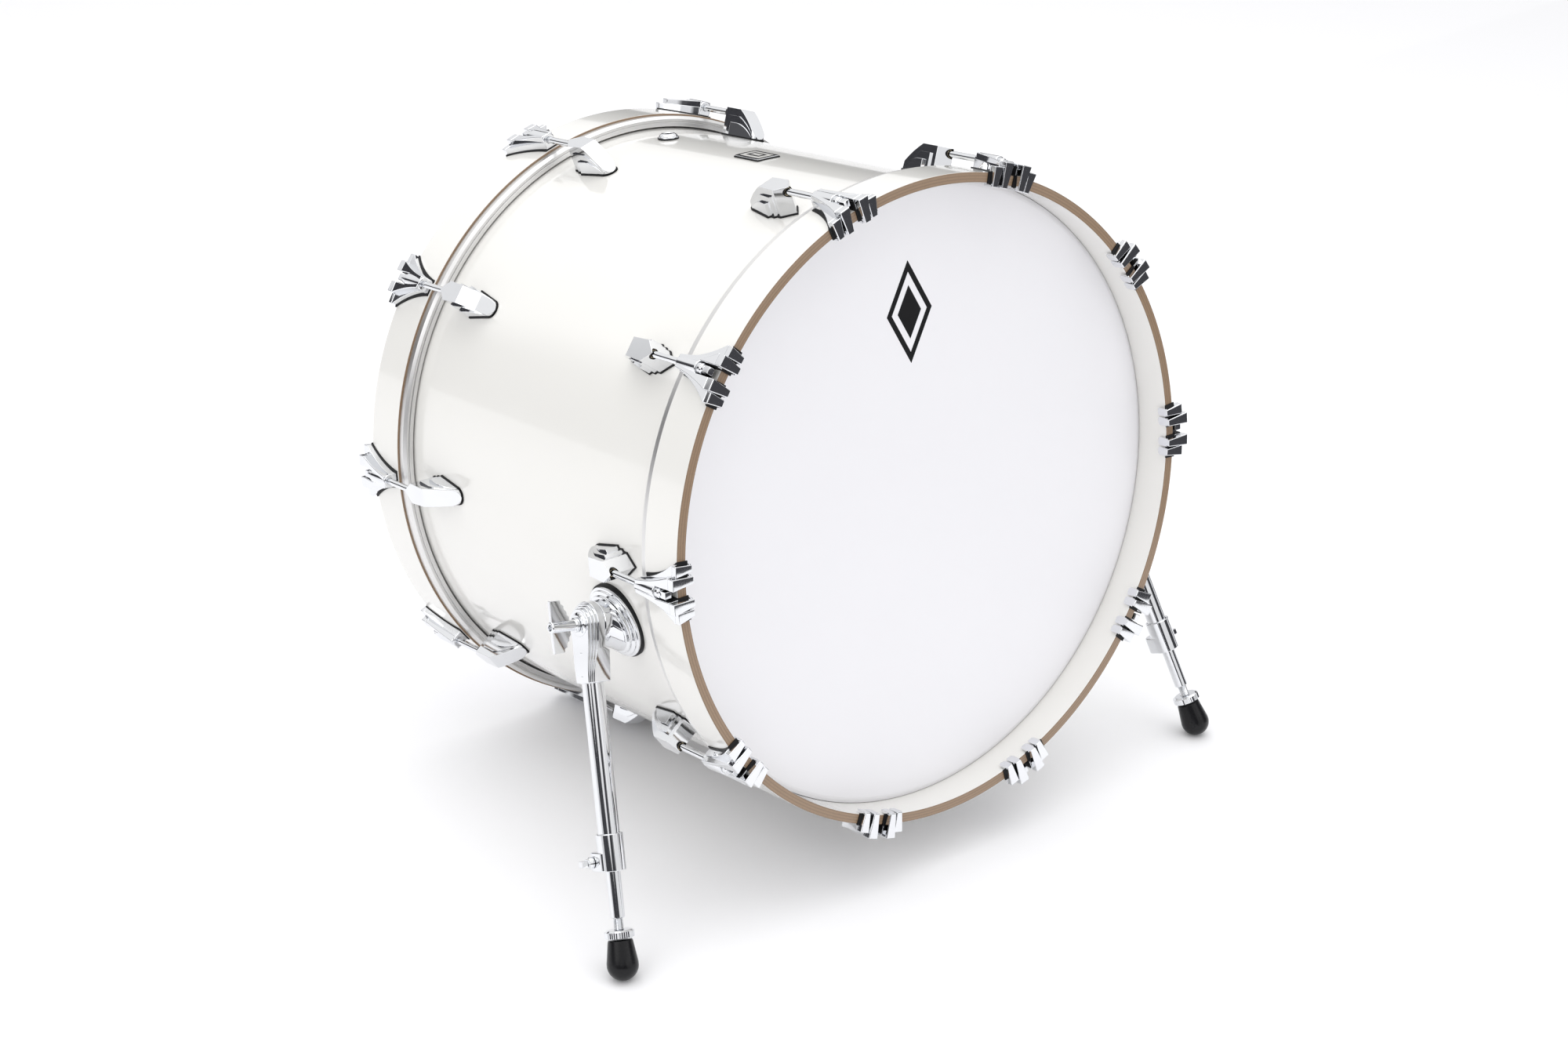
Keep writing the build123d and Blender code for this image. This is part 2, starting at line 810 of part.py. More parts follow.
def clamp_screw_plane(side):
    """The clamp screw's place, behind the leg: z along the screw, outwards."""
    leg = leg_plane(side)
    centre = leg.from_local_coords(Vector(0, -side * screw_offset, screw_drop))
    return Plane(centre, x_dir=leg.z_dir, z_dir=leg.x_dir)


def make_spur_clamp(side):
    """The clamp at the tube's end, with a boss for its screw and a slit through it."""
    leg = leg_plane(side)
    down_leg = Axis(leg.origin, leg.z_dir)
    rear = -side
    with BuildPart() as clamp:
        with BuildSketch(leg.offset(clamp_start)):
            Circle(clamp_radius)
        extrude(amount=clamp_end - clamp_start)
        chamfer(clamp.edges().group_by(down_leg)[0], 0.8)
        with BuildSketch(leg.offset(clamp_end - boss_height)):
            with Locations((1.0, rear * (screw_offset / 2 + 1))):
                RectangleRounded(25.0, screw_offset + 12, 5.0)
        extrude(amount=boss_height)
        with Locations(leg.offset(tube_end - 25)):
            Cylinder(tube_radius, 50, mode=Mode.SUBTRACT)
        with Locations(leg.offset(clamp_end)):
            Cylinder(leg_rod_radius + fit, 60, mode=Mode.SUBTRACT)
        with Locations(leg.offset(clamp_end)):
            with Locations((0, rear * (screw_offset + 2))):
                Box(1.4, screw_offset + 14, 2 * (clamp_end - tube_end), mode=Mode.SUBTRACT)
        with Locations(clamp_screw_plane(side)):
            Cylinder(clamp_screw_radius + fit, 60, mode=Mode.SUBTRACT)
    return clamp


def make_clamp_screw(side):
    """The clamp's screw, with a square head for the drum key."""
    axis = clamp_screw_plane(side)
    outside = 13.5 + fit
    with BuildPart() as screw:
        with BuildSketch(axis.offset(-9)):
            Circle(clamp_screw_radius)
        extrude(amount=outside + 9)
        with BuildSketch(axis.offset(outside)):
            Circle(5.2)
        extrude(amount=3.0)
        with BuildSketch(axis.offset(outside + 3.0)):
            Circle(3.9)
        extrude(amount=2.5)
        with BuildSketch(axis.offset(outside + 5.5)):
            Rectangle(5.6, 5.6)
        extrude(amount=6.0)
    return screw


def make_leg_rod(side):
    """The leg's inner rod, with a threaded end for the foot."""
    root_radius = leg_thread_radius - 0.6
    pitch = 1.25
    turns = int((thread_end - rod_end) / pitch)
    thread = []
    for turn in range(turns):
        start = rod_end + turn * pitch
        thread += [(root_radius, start), (leg_thread_radius, start + pitch / 2)]
    return turned(
        side,
        [
            (0, rod_start),
            (leg_rod_radius - 0.6, rod_start),
            (leg_rod_radius, rod_start + 0.6),
            (leg_rod_radius, rod_end - 0.8),
            (leg_rod_radius - 0.8, rod_end),
            *thread,
            (root_radius, rod_end + turns * pitch),
            (root_radius, thread_end),
            (0, thread_end + 1.5),
        ],
    )


def make_lock_nut(side):
    """The round nut that locks the foot."""
    bore = leg_thread_radius + fit
    return turned(
        side,
        [
            (bore, nut_start),
            (11.6, nut_start),
            (12.85, nut_start + 1.2),
            (12.85, nut_end - 1.2),
            (11.6, nut_end),
            (bore, nut_end),
        ],
    )


def make_foot(side):
    """The rubber foot: a cone that swells to a round end, with a blind threaded hole."""
    leg = leg_plane(side)
    bore = leg_thread_radius + fit
    bore_end = foot_centre + 2.5
    flat = 1.5
    tip = foot_centre + (foot_radius**2 - flat**2) ** 0.5
    slant = foot_radius * cos(radians(45))
    lift = 2.6
    shoulder = ((foot_radius**2 - lift**2) ** 0.5, foot_centre - lift)
    with BuildPart() as foot:
        with BuildSketch(leg_section(side)):
            with BuildLine():
                Polyline(
                    (flat, tip), (0, tip), (0, bore_end), (bore, bore_end), (bore, foot_start),
                    (10.2, foot_start), (10.9, foot_start + 0.8), shoulder,
                )
                ThreePointArc(shoulder, (slant, foot_centre + slant), (flat, tip))
            make_face()
        revolve(axis=Axis(leg.origin, leg.z_dir))
    return foot


# ---------------------------------------------------------------- all the pieces
os.makedirs("parts", exist_ok=True)

finish(make_shell(), "shell")

lug = make_lug()
lug_gasket_sheet = make_lug_gasket()
swivel_nut = make_swivel_nut()
lug_screws = make_lug_screws()
lug_washers = make_lug_washers()
claw = make_claw()
claw_gasket_sheet = make_claw_gasket()
tension_rod = make_tension_rod()
rod_washer = make_rod_washer()

for name, head_name, end in (("front", "front_head", front_end), ("rear", "batter_head", rear_end)):
    finish(make_hoop(end), f"{name}_hoop")
    finish(make_flesh_hoop(end), f"{name}_flesh_hoop")
    finish(make_head(end), head_name)
    finish(around(end, shell_radius, lug), f"{name}_lugs")
    finish(around(end, shell_radius, lug_gasket_sheet), f"{name}_lug_gaskets")
    finish(around(end, shell_radius, swivel_nut), f"{name}_swivel_nuts")
    finish(around(end, shell_radius, lug_screws), f"{name}_lug_screws")
    finish(around(end, shell_radius, lug_washers), f"{name}_lug_washers")
    finish(around(end, hoop_outer, claw), f"{name}_claws")
    finish(around(end, hoop_outer, claw_gasket_sheet), f"{name}_claw_gaskets")
    finish(around(end, rod_circle, tension_rod), f"{name}_tension_rods")
    finish(around(end, rod_circle, rod_washer), f"{name}_rod_washers")

finish(make_vent(), "air_vent")
finish(make_vent_gasket(), "air_vent_gasket")
finish(make_vent_nut(), "air_vent_nut")
finish(make_badge(), "badge")
finish(badge_slab(badge_length, badge_width, 0.0, 1.0), "badge_gasket")

for name, side in (("left", -1), ("right", 1)):
    finish(make_spur_gasket(side), f"{name}_spur_gasket")
    finish(make_spur_base(side), f"{name}_spur_base")
    finish(make_spur_screws(side), f"{name}_spur_screws")
    finish(make_spur_backing(side), f"{name}_spur_backing_plate")
    finish(make_spur_head(side), f"{name}_spur_head")
    finish(make_wing_bolt(side), f"{name}_wing_bolt")
    finish(make_spur_tube(side), f"{name}_spur_tube")
    finish(make_spur_clamp(side), f"{name}_spur_clamp")
    finish(make_clamp_screw(side), f"{name}_clamp_screw")
    finish(make_leg_rod(side), f"{name}_leg_rod")
    finish(make_lock_nut(side), f"{name}_lock_nut")
    finish(make_foot(side), f"{name}_foot")
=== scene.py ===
import json
from math import atan2, cos, hypot, pi, radians, sin, tau

import bmesh
import bpy
from bpy.props import FloatProperty, FloatVectorProperty, IntProperty, PointerProperty
from bpy.types import Operator, Panel, PropertyGroup
from mathutils import Matrix, Vector


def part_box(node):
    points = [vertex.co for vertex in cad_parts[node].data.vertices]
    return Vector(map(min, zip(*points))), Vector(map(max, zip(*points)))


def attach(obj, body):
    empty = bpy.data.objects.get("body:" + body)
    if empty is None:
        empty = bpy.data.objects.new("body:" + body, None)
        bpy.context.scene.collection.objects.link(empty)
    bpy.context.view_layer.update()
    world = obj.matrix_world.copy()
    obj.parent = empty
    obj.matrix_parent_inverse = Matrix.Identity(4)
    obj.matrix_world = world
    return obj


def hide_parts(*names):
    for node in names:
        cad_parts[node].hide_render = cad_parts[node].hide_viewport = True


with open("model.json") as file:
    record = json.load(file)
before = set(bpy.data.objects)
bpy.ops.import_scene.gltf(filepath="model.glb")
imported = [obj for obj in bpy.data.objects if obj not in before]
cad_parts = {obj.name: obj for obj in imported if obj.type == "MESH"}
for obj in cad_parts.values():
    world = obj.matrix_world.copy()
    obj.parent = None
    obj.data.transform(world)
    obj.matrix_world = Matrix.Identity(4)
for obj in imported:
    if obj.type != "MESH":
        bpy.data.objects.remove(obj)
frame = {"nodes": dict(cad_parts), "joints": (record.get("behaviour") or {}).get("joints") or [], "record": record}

bl_info = {
    "name": "Bass Drum",
    "version": (1, 0, 0),
    "blender": (4, 5, 0),
    "location": "View3D > Sidebar > Drum",
    "description": "Builds the visible pieces of a bass drum with folding spurs",
    "category": "Object",
}

# Pieces are drawn in millimetres and placed by matrices that bring them to the frame's metres.
MM = 1000.0
SWAP_XY = Matrix(((0, 1, 0, 0), (1, 0, 0, 0), (0, 0, 1, 0), (0, 0, 0, 1)))
SWAP_XZ = Matrix(((0, 0, 1, 0), (0, 1, 0, 0), (1, 0, 0, 0), (0, 0, 0, 1)))
MERGE = 1e-4
TINY = 1e-6
NO_AREA = 1e-9

joints = {joint["name"]: joint for joint in frame["joints"]}
mounts = {mount["name"]: mount for mount in frame["record"]["mounts"]}
SIDES = {"left": -1, "right": 1}
ENDS = ("front", "rear")
HEADS = {"front": "front_head", "rear": "batter_head"}
hoop_low, hoop_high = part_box("front_hoop")
shell_low, shell_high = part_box("shell")
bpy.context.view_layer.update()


# ---------------------------------------------------------------- sizes and colours
def length(name, description, default):
    return FloatProperty(name=name, description=description, default=default, unit="LENGTH", precision=4)


def colour(name, description, default):
    return FloatVectorProperty(
        name=name, description=description, default=default, subtype="COLOR", size=3, min=0, max=1
    )


class DrumSizes(PropertyGroup):
    shell_radius: length("Shell radius", "Outside of the shell", (shell_high.x - shell_low.x) / 2)
    shell_wall: length("Shell wall", "Thickness of the ply shell", 0.007)
    hoop_radius: length("Hoop radius", "Outside of the hoops", (hoop_high.x - hoop_low.x) / 2)
    hoop_wall: length("Hoop wall", "Thickness of the ply hoops", 0.009)
    hoop_depth: length("Hoop depth", "Depth of the hoops", 0.044)
    head_recess: length("Head recess", "From the hoop's face to the head", 0.0329)
    steps: IntProperty(name="Round steps", description="Sides of the large rings", default=288, min=64)


class HardwareSizes(PropertyGroup):
    stations: IntProperty(name="Stations", description="Claws and lugs at each end", default=10, min=4)
    first_angle: FloatProperty(
        name="First angle", description="From the top to the first claw", default=radians(18),
        subtype="ANGLE",
    )
    rod_circle: length("Rod circle", "Radius of the tension rods' circle", 0.301)
    rod_radius: length("Rod radius", "Radius of a tension rod", 0.003)
    claw_slot: length("Claw slot", "Half the width of the slot over a rod's head", 0.0052)
    lug_prow: length("Lug prow", "From the hoop's face to the lug's prow", 0.075)
    lug_crest: length("Lug crest", "Height of a lug over the shell", 0.0265)
    chrome_edge: length("Chrome edge", "Rounding of the castings' edges", 0.0008)


class SpurSizes(PropertyGroup):
    pivot_height: length("Pivot height", "Shell to the leg's centre line", 0.033)
    flange_radius: length("Flange radius", "Radius of a spur's base", 0.0335)
    tube_radius: length("Tube radius", "Radius of the leg's outer tube", 0.0095)
    rod_radius: length("Rod radius", "Radius of the leg's inner rod", 0.00635)
    foot_radius: length("Foot radius", "Radius of the rubber foot", 0.01375)


class Finishes(PropertyGroup):
    lacquer: colour("Lacquer", "Gloss white of shell and hoops", (0.81, 0.80, 0.77))
    ply: colour("Ply", "Bare edge of the hoops", (0.25, 0.165, 0.10))
    film: colour("Film", "Smooth white of the heads", (0.82, 0.815, 0.84))
    chrome: colour("Chrome", "Polished castings", (0.80, 0.81, 0.83))
    brass: colour("Brass", "Swivel nuts", (0.70, 0.60, 0.42))
    aluminium: colour("Aluminium", "Flesh hoops", (0.76, 0.755, 0.75))
    rubber: colour("Rubber", "Gaskets and feet", (0.006, 0.006, 0.007))


class StageSettings(PropertyGroup):
    floor_colour: colour("Floor", "The plain floor", (0.93, 0.93, 0.945))
    camera_place: FloatVectorProperty(
        name="Camera place", description="Where the camera stands", default=(-1.5123, -1.8266, 1.3182),
        subtype="TRANSLATION", size=3,
    )
    camera_target: FloatVectorProperty(
        name="Camera target", description="What the camera looks at", default=(-0.0812, -0.1152, 0.3055),
        subtype="TRANSLATION", size=3,
    )
    camera_roll: FloatProperty(
        name="Camera roll", description="Turn about the line of sight", default=radians(1.218),
        subtype="ANGLE",
    )
    camera_lens: FloatProperty(
        name="Lens", description="Focal length for a 36 mm sensor", default=62.79, unit="CAMERA"
    )


# ---------------------------------------------------------------- places
def placed(origin, x, z):
    """The place of a piece drawn in millimetres, from its origin and its x and z directions."""
    x = Vector(x).normalized()
    z = Vector(z).normalized()
    turn = Matrix((x, z.cross(x), z)).transposed().to_4x4()
    return Matrix.Translation(Vector(origin)) @ turn @ Matrix.Scale(1 / MM, 4)


def shift(x=0.0, y=0.0, z=0.0):
    return Matrix.Translation((x, y, z))


rearwards = -Vector(mounts["front_face"]["axis"])
upwards = Vector((0, -rearwards.z, rearwards.y))


def end_place(end):
    """A hoop's face: x up, y sideways, z into the drum."""
    recess = bpy.context.scene.drum_sizes.head_recess
    if end == "front":
        return placed(Vector(mounts["front_face"]["pos_m"]) - rearwards * recess, upwards, rearwards)
    return placed(Vector(mounts["batter_face"]["pos_m"]) + rearwards * recess, upwards, -rearwards)


def station_places(end, radius):
    """The places round an end: x outwards from the radius, y round the drum, z into the drum."""
    sizes = bpy.context.scene.hardware_sizes
    for number in range(sizes.stations):
        angle = sizes.first_angle + tau * number / sizes.stations
        yield end_place(end) @ Matrix.Rotation(angle, 4, "Z") @ shift(x=radius)


def leg_place(side):
    """The leg at its pivot: x outwards along the pivot, z down the leg."""
    pivot = joints[f"{side}_wing_bolt_turn"]
    down = joints[f"{side}_leg_extension"]["axis"]
    return placed(pivot["pos_m"], pivot["axis"], down)


def pivot_place(side):
    """The pivot: x down the leg, z outwards along the pivot."""
    pivot = joints[f"{side}_wing_bolt_turn"]
    down = joints[f"{side}_leg_extension"]["axis"]
    return placed(pivot["pos_m"], down, pivot["axis"])


def seat_place(side):
    """The spur's centre on the shell: x rearwards, z outwards."""
    pivot = joints[f"{side}_wing_bolt_turn"]
    height = bpy.context.scene.spur_sizes.pivot_height
    foot = Vector(pivot["pos_m"]) - Vector(pivot["axis"]) * height
    outwards = foot - Vector(mounts["front_face"]["pos_m"])
    outwards -= rearwards * outwards.dot(rearwards)
    return placed(foot, rearwards, outwards)


# ---------------------------------------------------------------- shaping
def arc_through(start, middle, end, count):
    """Points on the circle through three points, after the start and before the end."""
    a, b, c = (Vector(p) for p in (start, middle, end))
    d = 2 * (a.x * (b.y - c.y) + b.x * (c.y - a.y) + c.x * (a.y - b.y))
    squares = [p.length_squared for p in (a, b, c)]
    centre = Vector((
        (squares[0] * (b.y - c.y) + squares[1] * (c.y - a.y) + squares[2] * (a.y - b.y)) / d,
        (squares[0] * (c.x - b.x) + squares[1] * (a.x - c.x) + squares[2] * (b.x - a.x)) / d,
    ))
    first = atan2(a.y - centre.y, a.x - centre.x)
    sweep = (atan2(c.y - centre.y, c.x - centre.x) - first) % tau
    halfway = (atan2(b.y - centre.y, b.x - centre.x) - first) % tau
    if halfway > sweep:
        sweep -= tau
    radius = (a - centre).length
    angles = [first + sweep * (k + 1) / (count + 1) for k in range(count)]
    return [(centre.x + radius * cos(t), centre.y + radius * sin(t)) for t in angles]


def round_points(radius, height, start, end, count):
    """Points round a circle centred on the axis at a height, from one angle to another."""
    angles = [start + (end - start) * k / count for k in range(count + 1)]
    return [(radius * cos(t), height + radius * sin(t)) for t in angles]


def eased(value, start, span):
    """0 before the start, 1 after the span, smooth between."""
    part = min(max((value - start) / span, 0), 1)
    return part * part * (3 - 2 * part)


def slab(outline, low, high):
    """A flat solid: an outline in y and z, as thick as from low to high along x."""
    bm = bmesh.new()
    face = bm.faces.new([bm.verts.new((low, y, z)) for y, z in outline])
    raised = bmesh.ops.extrude_face_region(bm, geom=[face])["geom"]
    corners = [part for part in raised if isinstance(part, bmesh.types.BMVert)]
    bmesh.ops.translate(bm, vec=(high - low, 0, 0), verts=corners)
    bmesh.ops.recalc_face_normals(bm, faces=bm.faces)
    return bm


def block(low, high):
    """A box between two corners."""
    low, high = Vector(low), Vector(high)
    bm = bmesh.new()
    size = Matrix.Diagonal((*(high - low), 1))
    bmesh.ops.create_cube(bm, size=1, matrix=Matrix.Translation((low + high) / 2) @ size)
    return bm


def disc(radius, low, high, steps=48):
    """A round solid along z."""
    bm = bmesh.new()
    bmesh.ops.create_cone(
        bm, cap_ends=True, segments=steps, radius1=radius, radius2=radius, depth=high - low,
        matrix=shift(z=(low + high) / 2),
    )
    return bm


def turned(section, rounding=0.0, steps=64):
    """A solid of revolution about z, from the corners of its section (radius, height)."""
    bm = bmesh.new()
    corners = [bm.verts.new((radius, 0, height)) for radius, height in section]
    for pair in zip(corners, corners[1:] + corners[:1]):
        bm.edges.new(pair)
    if rounding:
        bmesh.ops.bevel(
            bm, geom=[v for v in corners if v.co.x > TINY], offset=rounding, segments=3, profile=0.5,
            affect="VERTICES", material=-1, clamp_overlap=True,
        )
    bmesh.ops.spin(
        bm, geom=bm.verts[:] + bm.edges[:], cent=(0, 0, 0), axis=(0, 0, 1), angle=tau, steps=steps,
        use_merge=True,
    )
    bmesh.ops.remove_doubles(bm, verts=bm.verts, dist=MERGE)
    flat = [f for f in bm.faces if f.calc_area() < NO_AREA]
    bmesh.ops.delete(bm, geom=flat, context="FACES")
    bmesh.ops.recalc_face_normals(bm, faces=bm.faces)
    return bm


def soften(bm, width, segments=2, steeper=28):
    """Round the edges that turn by more than an angle."""
    sharp = [e for e in bm.edges if len(e.link_faces) == 2 and e.calc_face_angle() > radians(steeper)]
    bmesh.ops.bevel(
        bm, geom=sharp, offset=width, segments=segments, profile=0.5, affect="EDGES", material=-1,
        clamp_overlap=True,
    )
    return bm


def shave(bm, point, normal):
    """Cut away what lies beyond a plane and close the cut."""
    cut = bmesh.ops.bisect_plane(
        bm, geom=bm.verts[:] + bm.edges[:] + bm.faces[:], plane_co=point, plane_no=normal,
        clear_outer=True,
    )
    rim = [part for part in cut["geom_cut"] if isinstance(part, bmesh.types.BMEdge)]
    if rim:
        bmesh.ops.edgeloop_fill(bm, edges=rim)
    bmesh.ops.recalc_face_normals(bm, faces=bm.faces)
    return bm


def wrap(bm, radius):
    """Bend a piece drawn flat in y round the drum."""
    for vert in bm.verts:
        angle = vert.co.y / radius
        reach = radius + vert.co.x
        vert.co.x = reach * cos(angle) - radius
        vert.co.y = reach * sin(angle)
    return bm


def stamp(target, bm, place=Matrix.Identity(4), material=0):
    """Add a copy of one shape to another at a place."""
    mesh = bpy.data.meshes.new("stamp")
    bm.to_mesh(mesh)
    mesh.transform(place)
    if place.to_3x3().determinant() < 0:
        mesh.flip_normals()
    before = len(target.faces)
    target.from_mesh(mesh)
    target.faces.ensure_lookup_table()
    for face in target.faces[before:]:
        face.material_index += material
    bpy.data.meshes.remove(mesh)


def assembled(*parts):
    """Shapes at their places as one: each part is a shape, its place and, past the first, its material."""
    bm = bmesh.new()
    for part in parts:
        stamp(bm, *part)
    return bm


def joined(*shapes):
    """Several shapes as one."""
    return assembled(*((shape,) for shape in shapes))


def bored(bm, *cutters):
    """A shape with others cut out of it."""
    objects = []
    for shape in (bm, *cutters):
        mesh = bpy.data.meshes.new("bore")
        shape.to_mesh(mesh)
        shape.free()
        objects.append(bpy.data.objects.new("bore", mesh))
        bpy.context.scene.collection.objects.link(objects[-1])
    for cutter in objects[1:]:
        cut = objects[0].modifiers.new("bore", "BOOLEAN")
        cut.operation = "DIFFERENCE"
        cut.object = cutter
    solid = objects[0].evaluated_get(bpy.context.evaluated_depsgraph_get())
    result = bmesh.new()
    result.from_mesh(solid.to_mesh())
    solid.to_mesh_clear()
    for helper in objects:
        mesh = helper.data
        bpy.data.objects.remove(helper)
        bpy.data.meshes.remove(mesh)
    return result


def finish_piece(name, bm, body, stands_for, materials, crease=40):
    """Make the visible piece: smooth shading up to the crease angle, its body, slot and CAD nodes."""
    for face in bm.faces:
        face.smooth = True
    for edge in bm.edges:
        edge.smooth = len(edge.link_faces) != 2 or edge.calc_face_angle(pi) < radians(crease)
    mesh = bpy.data.meshes.new(name)
    bm.to_mesh(mesh)
    bm.free()
    for material in materials:
        mesh.materials.append(finish(material))
    piece = bpy.data.objects.new(name, mesh)
    bpy.context.scene.collection.objects.link(piece)
    even = piece.modifiers.new("even_shading", "WEIGHTED_NORMAL")
    even.keep_sharp = True
    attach(piece, body)
    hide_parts(*stands_for)
    return piece


# ---------------------------------------------------------------- finishes
class Value:
    """A value that varies over a surface; arithmetic on it adds Math nodes."""

    def __init__(self, graph, socket):
        self.graph = graph
        self.socket = socket

    def math(self, operation, *terms):
        return self.graph.node("ShaderNodeMath", {"operation": operation}, dict(enumerate(terms)))

    def __add__(self, other):
        return self.math("ADD", self, other)

    __radd__ = __add__

    def __sub__(self, other):
        return self.math("SUBTRACT", self, other)

    def __rsub__(self, other):
        return self.math("SUBTRACT", other, self)

    def __mul__(self, other):
        return self.math("MULTIPLY", self, other)

    __rmul__ = __mul__

    def __pow__(self, power):
        return self.math("POWER", self, power)

    def sine(self):
        return self.math("SINE", self)


class Graph:
    """The nodes of one material or of the world."""

    def __init__(self, owner):
        owner.use_nodes = True
        self.tree = owner.node_tree

    def node(self, kind, settings, inputs, output=0):
        """Add a node: its settings, then its sockets' values or links. Gives one of its outputs."""
        node = self.tree.nodes.new(kind)
        for name, value in settings.items():
            if name == "stops":
                for stop, (place, tone) in zip(node.color_ramp.elements, value):
                    stop.position = place
                    stop.color = (*tone, 1)
            else:
                setattr(node, name, value)
        self.feed(node, inputs)
        return Value(self, node.outputs[output])

    def feed(self, node, inputs):
        """Set or link a node's sockets."""
        for name, value in inputs.items():
            if isinstance(value, Value):
                self.tree.links.new(value.socket, node.inputs[name])
            else:
                node.inputs[name].default_value = value

    def mix(self, factor, first, second):
        """One colour blended into another."""
        return self.node("ShaderNodeMix", {"data_type": "RGBA"}, {0: factor, 6: first, 7: second}, 2)

    def noise(self, scale, detail, place):
        return self.node(
            "ShaderNodeTexNoise", {}, {"Vector": place, "Scale": scale, "Detail": detail, "Roughness": 0.55}
        )

    def ramp(self, value, low, high):
        """0 up to one value, 1 from another."""
        return self.node(
            "ShaderNodeMapRange", {"clamp": True},
            {"Value": value, "From Min": low, "From Max": high, "To Min": 0.0, "To Max": 1.0},
        )

    def bump(self, height, strength, distance):
        return self.node(
            "ShaderNodeBump", {}, {"Height": height, "Strength": strength, "Distance": distance}
        )

    def object_place(self):
        return self.node("ShaderNodeTexCoord", {}, {}, "Object")

    def drum_place(self):
        """The place seen from the drum's middle: z along the drum's axis."""
        turn = end_place("front").to_3x3().normalized().to_euler()
        return self.node(
            "ShaderNodeMapping", {"vector_type": "TEXTURE"},
            {"Vector": self.object_place(), "Location": end_place("front").translation, "Rotation": turn},
        )

    def split(self, place):
        """The x, y and z of a place."""
        x = self.node("ShaderNodeSeparateXYZ", {}, {0: place})
        node = x.socket.node
        return x, Value(self, node.outputs[1]), Value(self, node.outputs[2])

    def join(self, x, y, z):
        return self.node("ShaderNodeCombineXYZ", {}, {0: x, 1: y, 2: z})

    def round_drum(self):
        """The distance from the drum's axis, the angle round it and the depth along it."""
        x, y, z = self.split(self.drum_place())
        return (x * x + y * y) ** 0.5, x.math("ARCTAN2", y, x), z


def rgba(tone, gain=1.0):
    return (*(min(1.0, part * gain) for part in tone), 1.0)


def surface(name, **inputs):
    """A material with its Principled shader's constant sockets set."""
    material = bpy.data.materials.new(name)
    graph = Graph(material)
    graph.shader = graph.tree.nodes["Principled BSDF"]
    graph.feed(graph.shader, {key.replace("_", " "): value for key, value in inputs.items()})
    return material, graph


def lacquer(tones):
    """Sprayed gloss white, polished, with a faint ripple."""
    material, graph = surface(
        "white_lacquer", Roughness=0.22, IOR=1.5, Coat_Weight=0.9, Coat_Roughness=0.06, Coat_IOR=1.5
    )
    place = graph.object_place()
    cloud = graph.noise(5.0, 2.0, place)
    ripple = graph.noise(260.0, 1.0, place)
    graph.feed(graph.shader, {
        "Base Color": graph.mix(cloud, rgba(tones.lacquer, 0.985), rgba(tones.lacquer, 1.015)),
        "Roughness": 0.18 + 0.08 * cloud,
        "Normal": graph.bump(ripple, 0.03, 0.0002),
    })
    return material


PLY_PITCH = 0.0026


def ply_edge(tones):
    """The varnished edge of a ply hoop: thin plies in rings, with fine grain round them."""
    material, graph = surface("ply_edge", IOR=1.5, Coat_Weight=0.6, Coat_Roughness=0.15)
    radius, bend, z = graph.round_drum()
    grain = graph.noise(1.0, 4.0, graph.join(radius * 2600.0, bend * 90.0, z * 300.0))
    wave = (radius * (tau / PLY_PITCH)).sine()
    plies = graph.ramp(wave, -0.5, 0.9)
    pores = graph.ramp(grain, 0.56, 0.68)
    tone = graph.mix(plies * 0.8, rgba(tones.ply, 1.1), rgba(tones.ply, 0.72))
    tone = graph.mix(grain * 0.5, tone, rgba(tones.ply, 1.35))
    graph.feed(graph.shader, {
        "Base Color": graph.mix(pores * 0.5, tone, rgba(tones.ply, 0.5)),
        "Roughness": 0.38 + 0.2 * grain,
        "Normal": graph.bump(wave * 0.4 + grain, 0.25, 0.0002),
    })
    return material


def film(tones):
    """Smooth white head film: satin, with the finest tooth."""
    material, graph = surface("head_film", IOR=1.5, Coat_Weight=0.12, Coat_Roughness=0.3)
    place = graph.object_place()
    cloud = graph.noise(7.0, 3.0, place)
    tooth = graph.noise(1800.0, 2.0, place)
    graph.feed(graph.shader, {
        "Base Color": graph.mix(cloud, rgba(tones.film, 0.985), rgba(tones.film, 1.01)),
        "Roughness": 0.42 + 0.1 * tooth,
        "Normal": graph.bump(tooth, 0.08, 0.00005),
    })
    return material


def metal(name, tone, rough, scratch):
    """Polished metal with fine wiping marks and a little haze."""
    material, graph = surface(name, Metallic=1.0)
    place = graph.object_place()
    haze = graph.noise(45.0, 3.0, place)
    marks = graph.noise(900.0, 2.0, place)
    graph.feed(graph.shader, {
        "Base Color": graph.mix(haze, rgba(tone, 0.97), rgba(tone, 1.03)),
        "Roughness": rough + scratch * haze * marks,
        "Normal": graph.bump(marks, 0.03, 0.00003),
    })
    return material


def brushed_ring(tones):
    """Aluminium brushed round the drum."""
    material, graph = surface("brushed_aluminium", Metallic=1.0)
    radius, bend, z = graph.round_drum()
    lines = graph.noise(1.0, 5.0, graph.join(radius * 5200.0, bend * 6.0, z * 5200.0))
    graph.feed(graph.shader, {
        "Base Color": graph.mix(lines, rgba(tones.aluminium, 0.8), rgba(tones.aluminium, 1.2)),
        "Roughness": 0.26 + 0.16 * lines,
        "Normal": graph.bump(lines, 0.12, 0.00006),
    })
    return material


def rubber(name, tone, rough, shine=0.5):
    """Moulded rubber, or black print that also serves as painted shade, with a fine grain."""
    material, graph = surface(name, IOR=1.34, Specular_IOR_Level=shine, Coat_Roughness=0.2)
    place = graph.object_place()
    grain = graph.noise(1400.0, 3.0, place)
    worn = graph.noise(60.0, 4.0, place)
    graph.feed(graph.shader, {
        "Base Color": graph.mix(worn, rgba(tone, 0.8), rgba(tone, 1.4)),
        "Roughness": rough + 0.15 * grain,
        "Normal": graph.bump(grain, 0.15, 0.0001),
    })
    return material


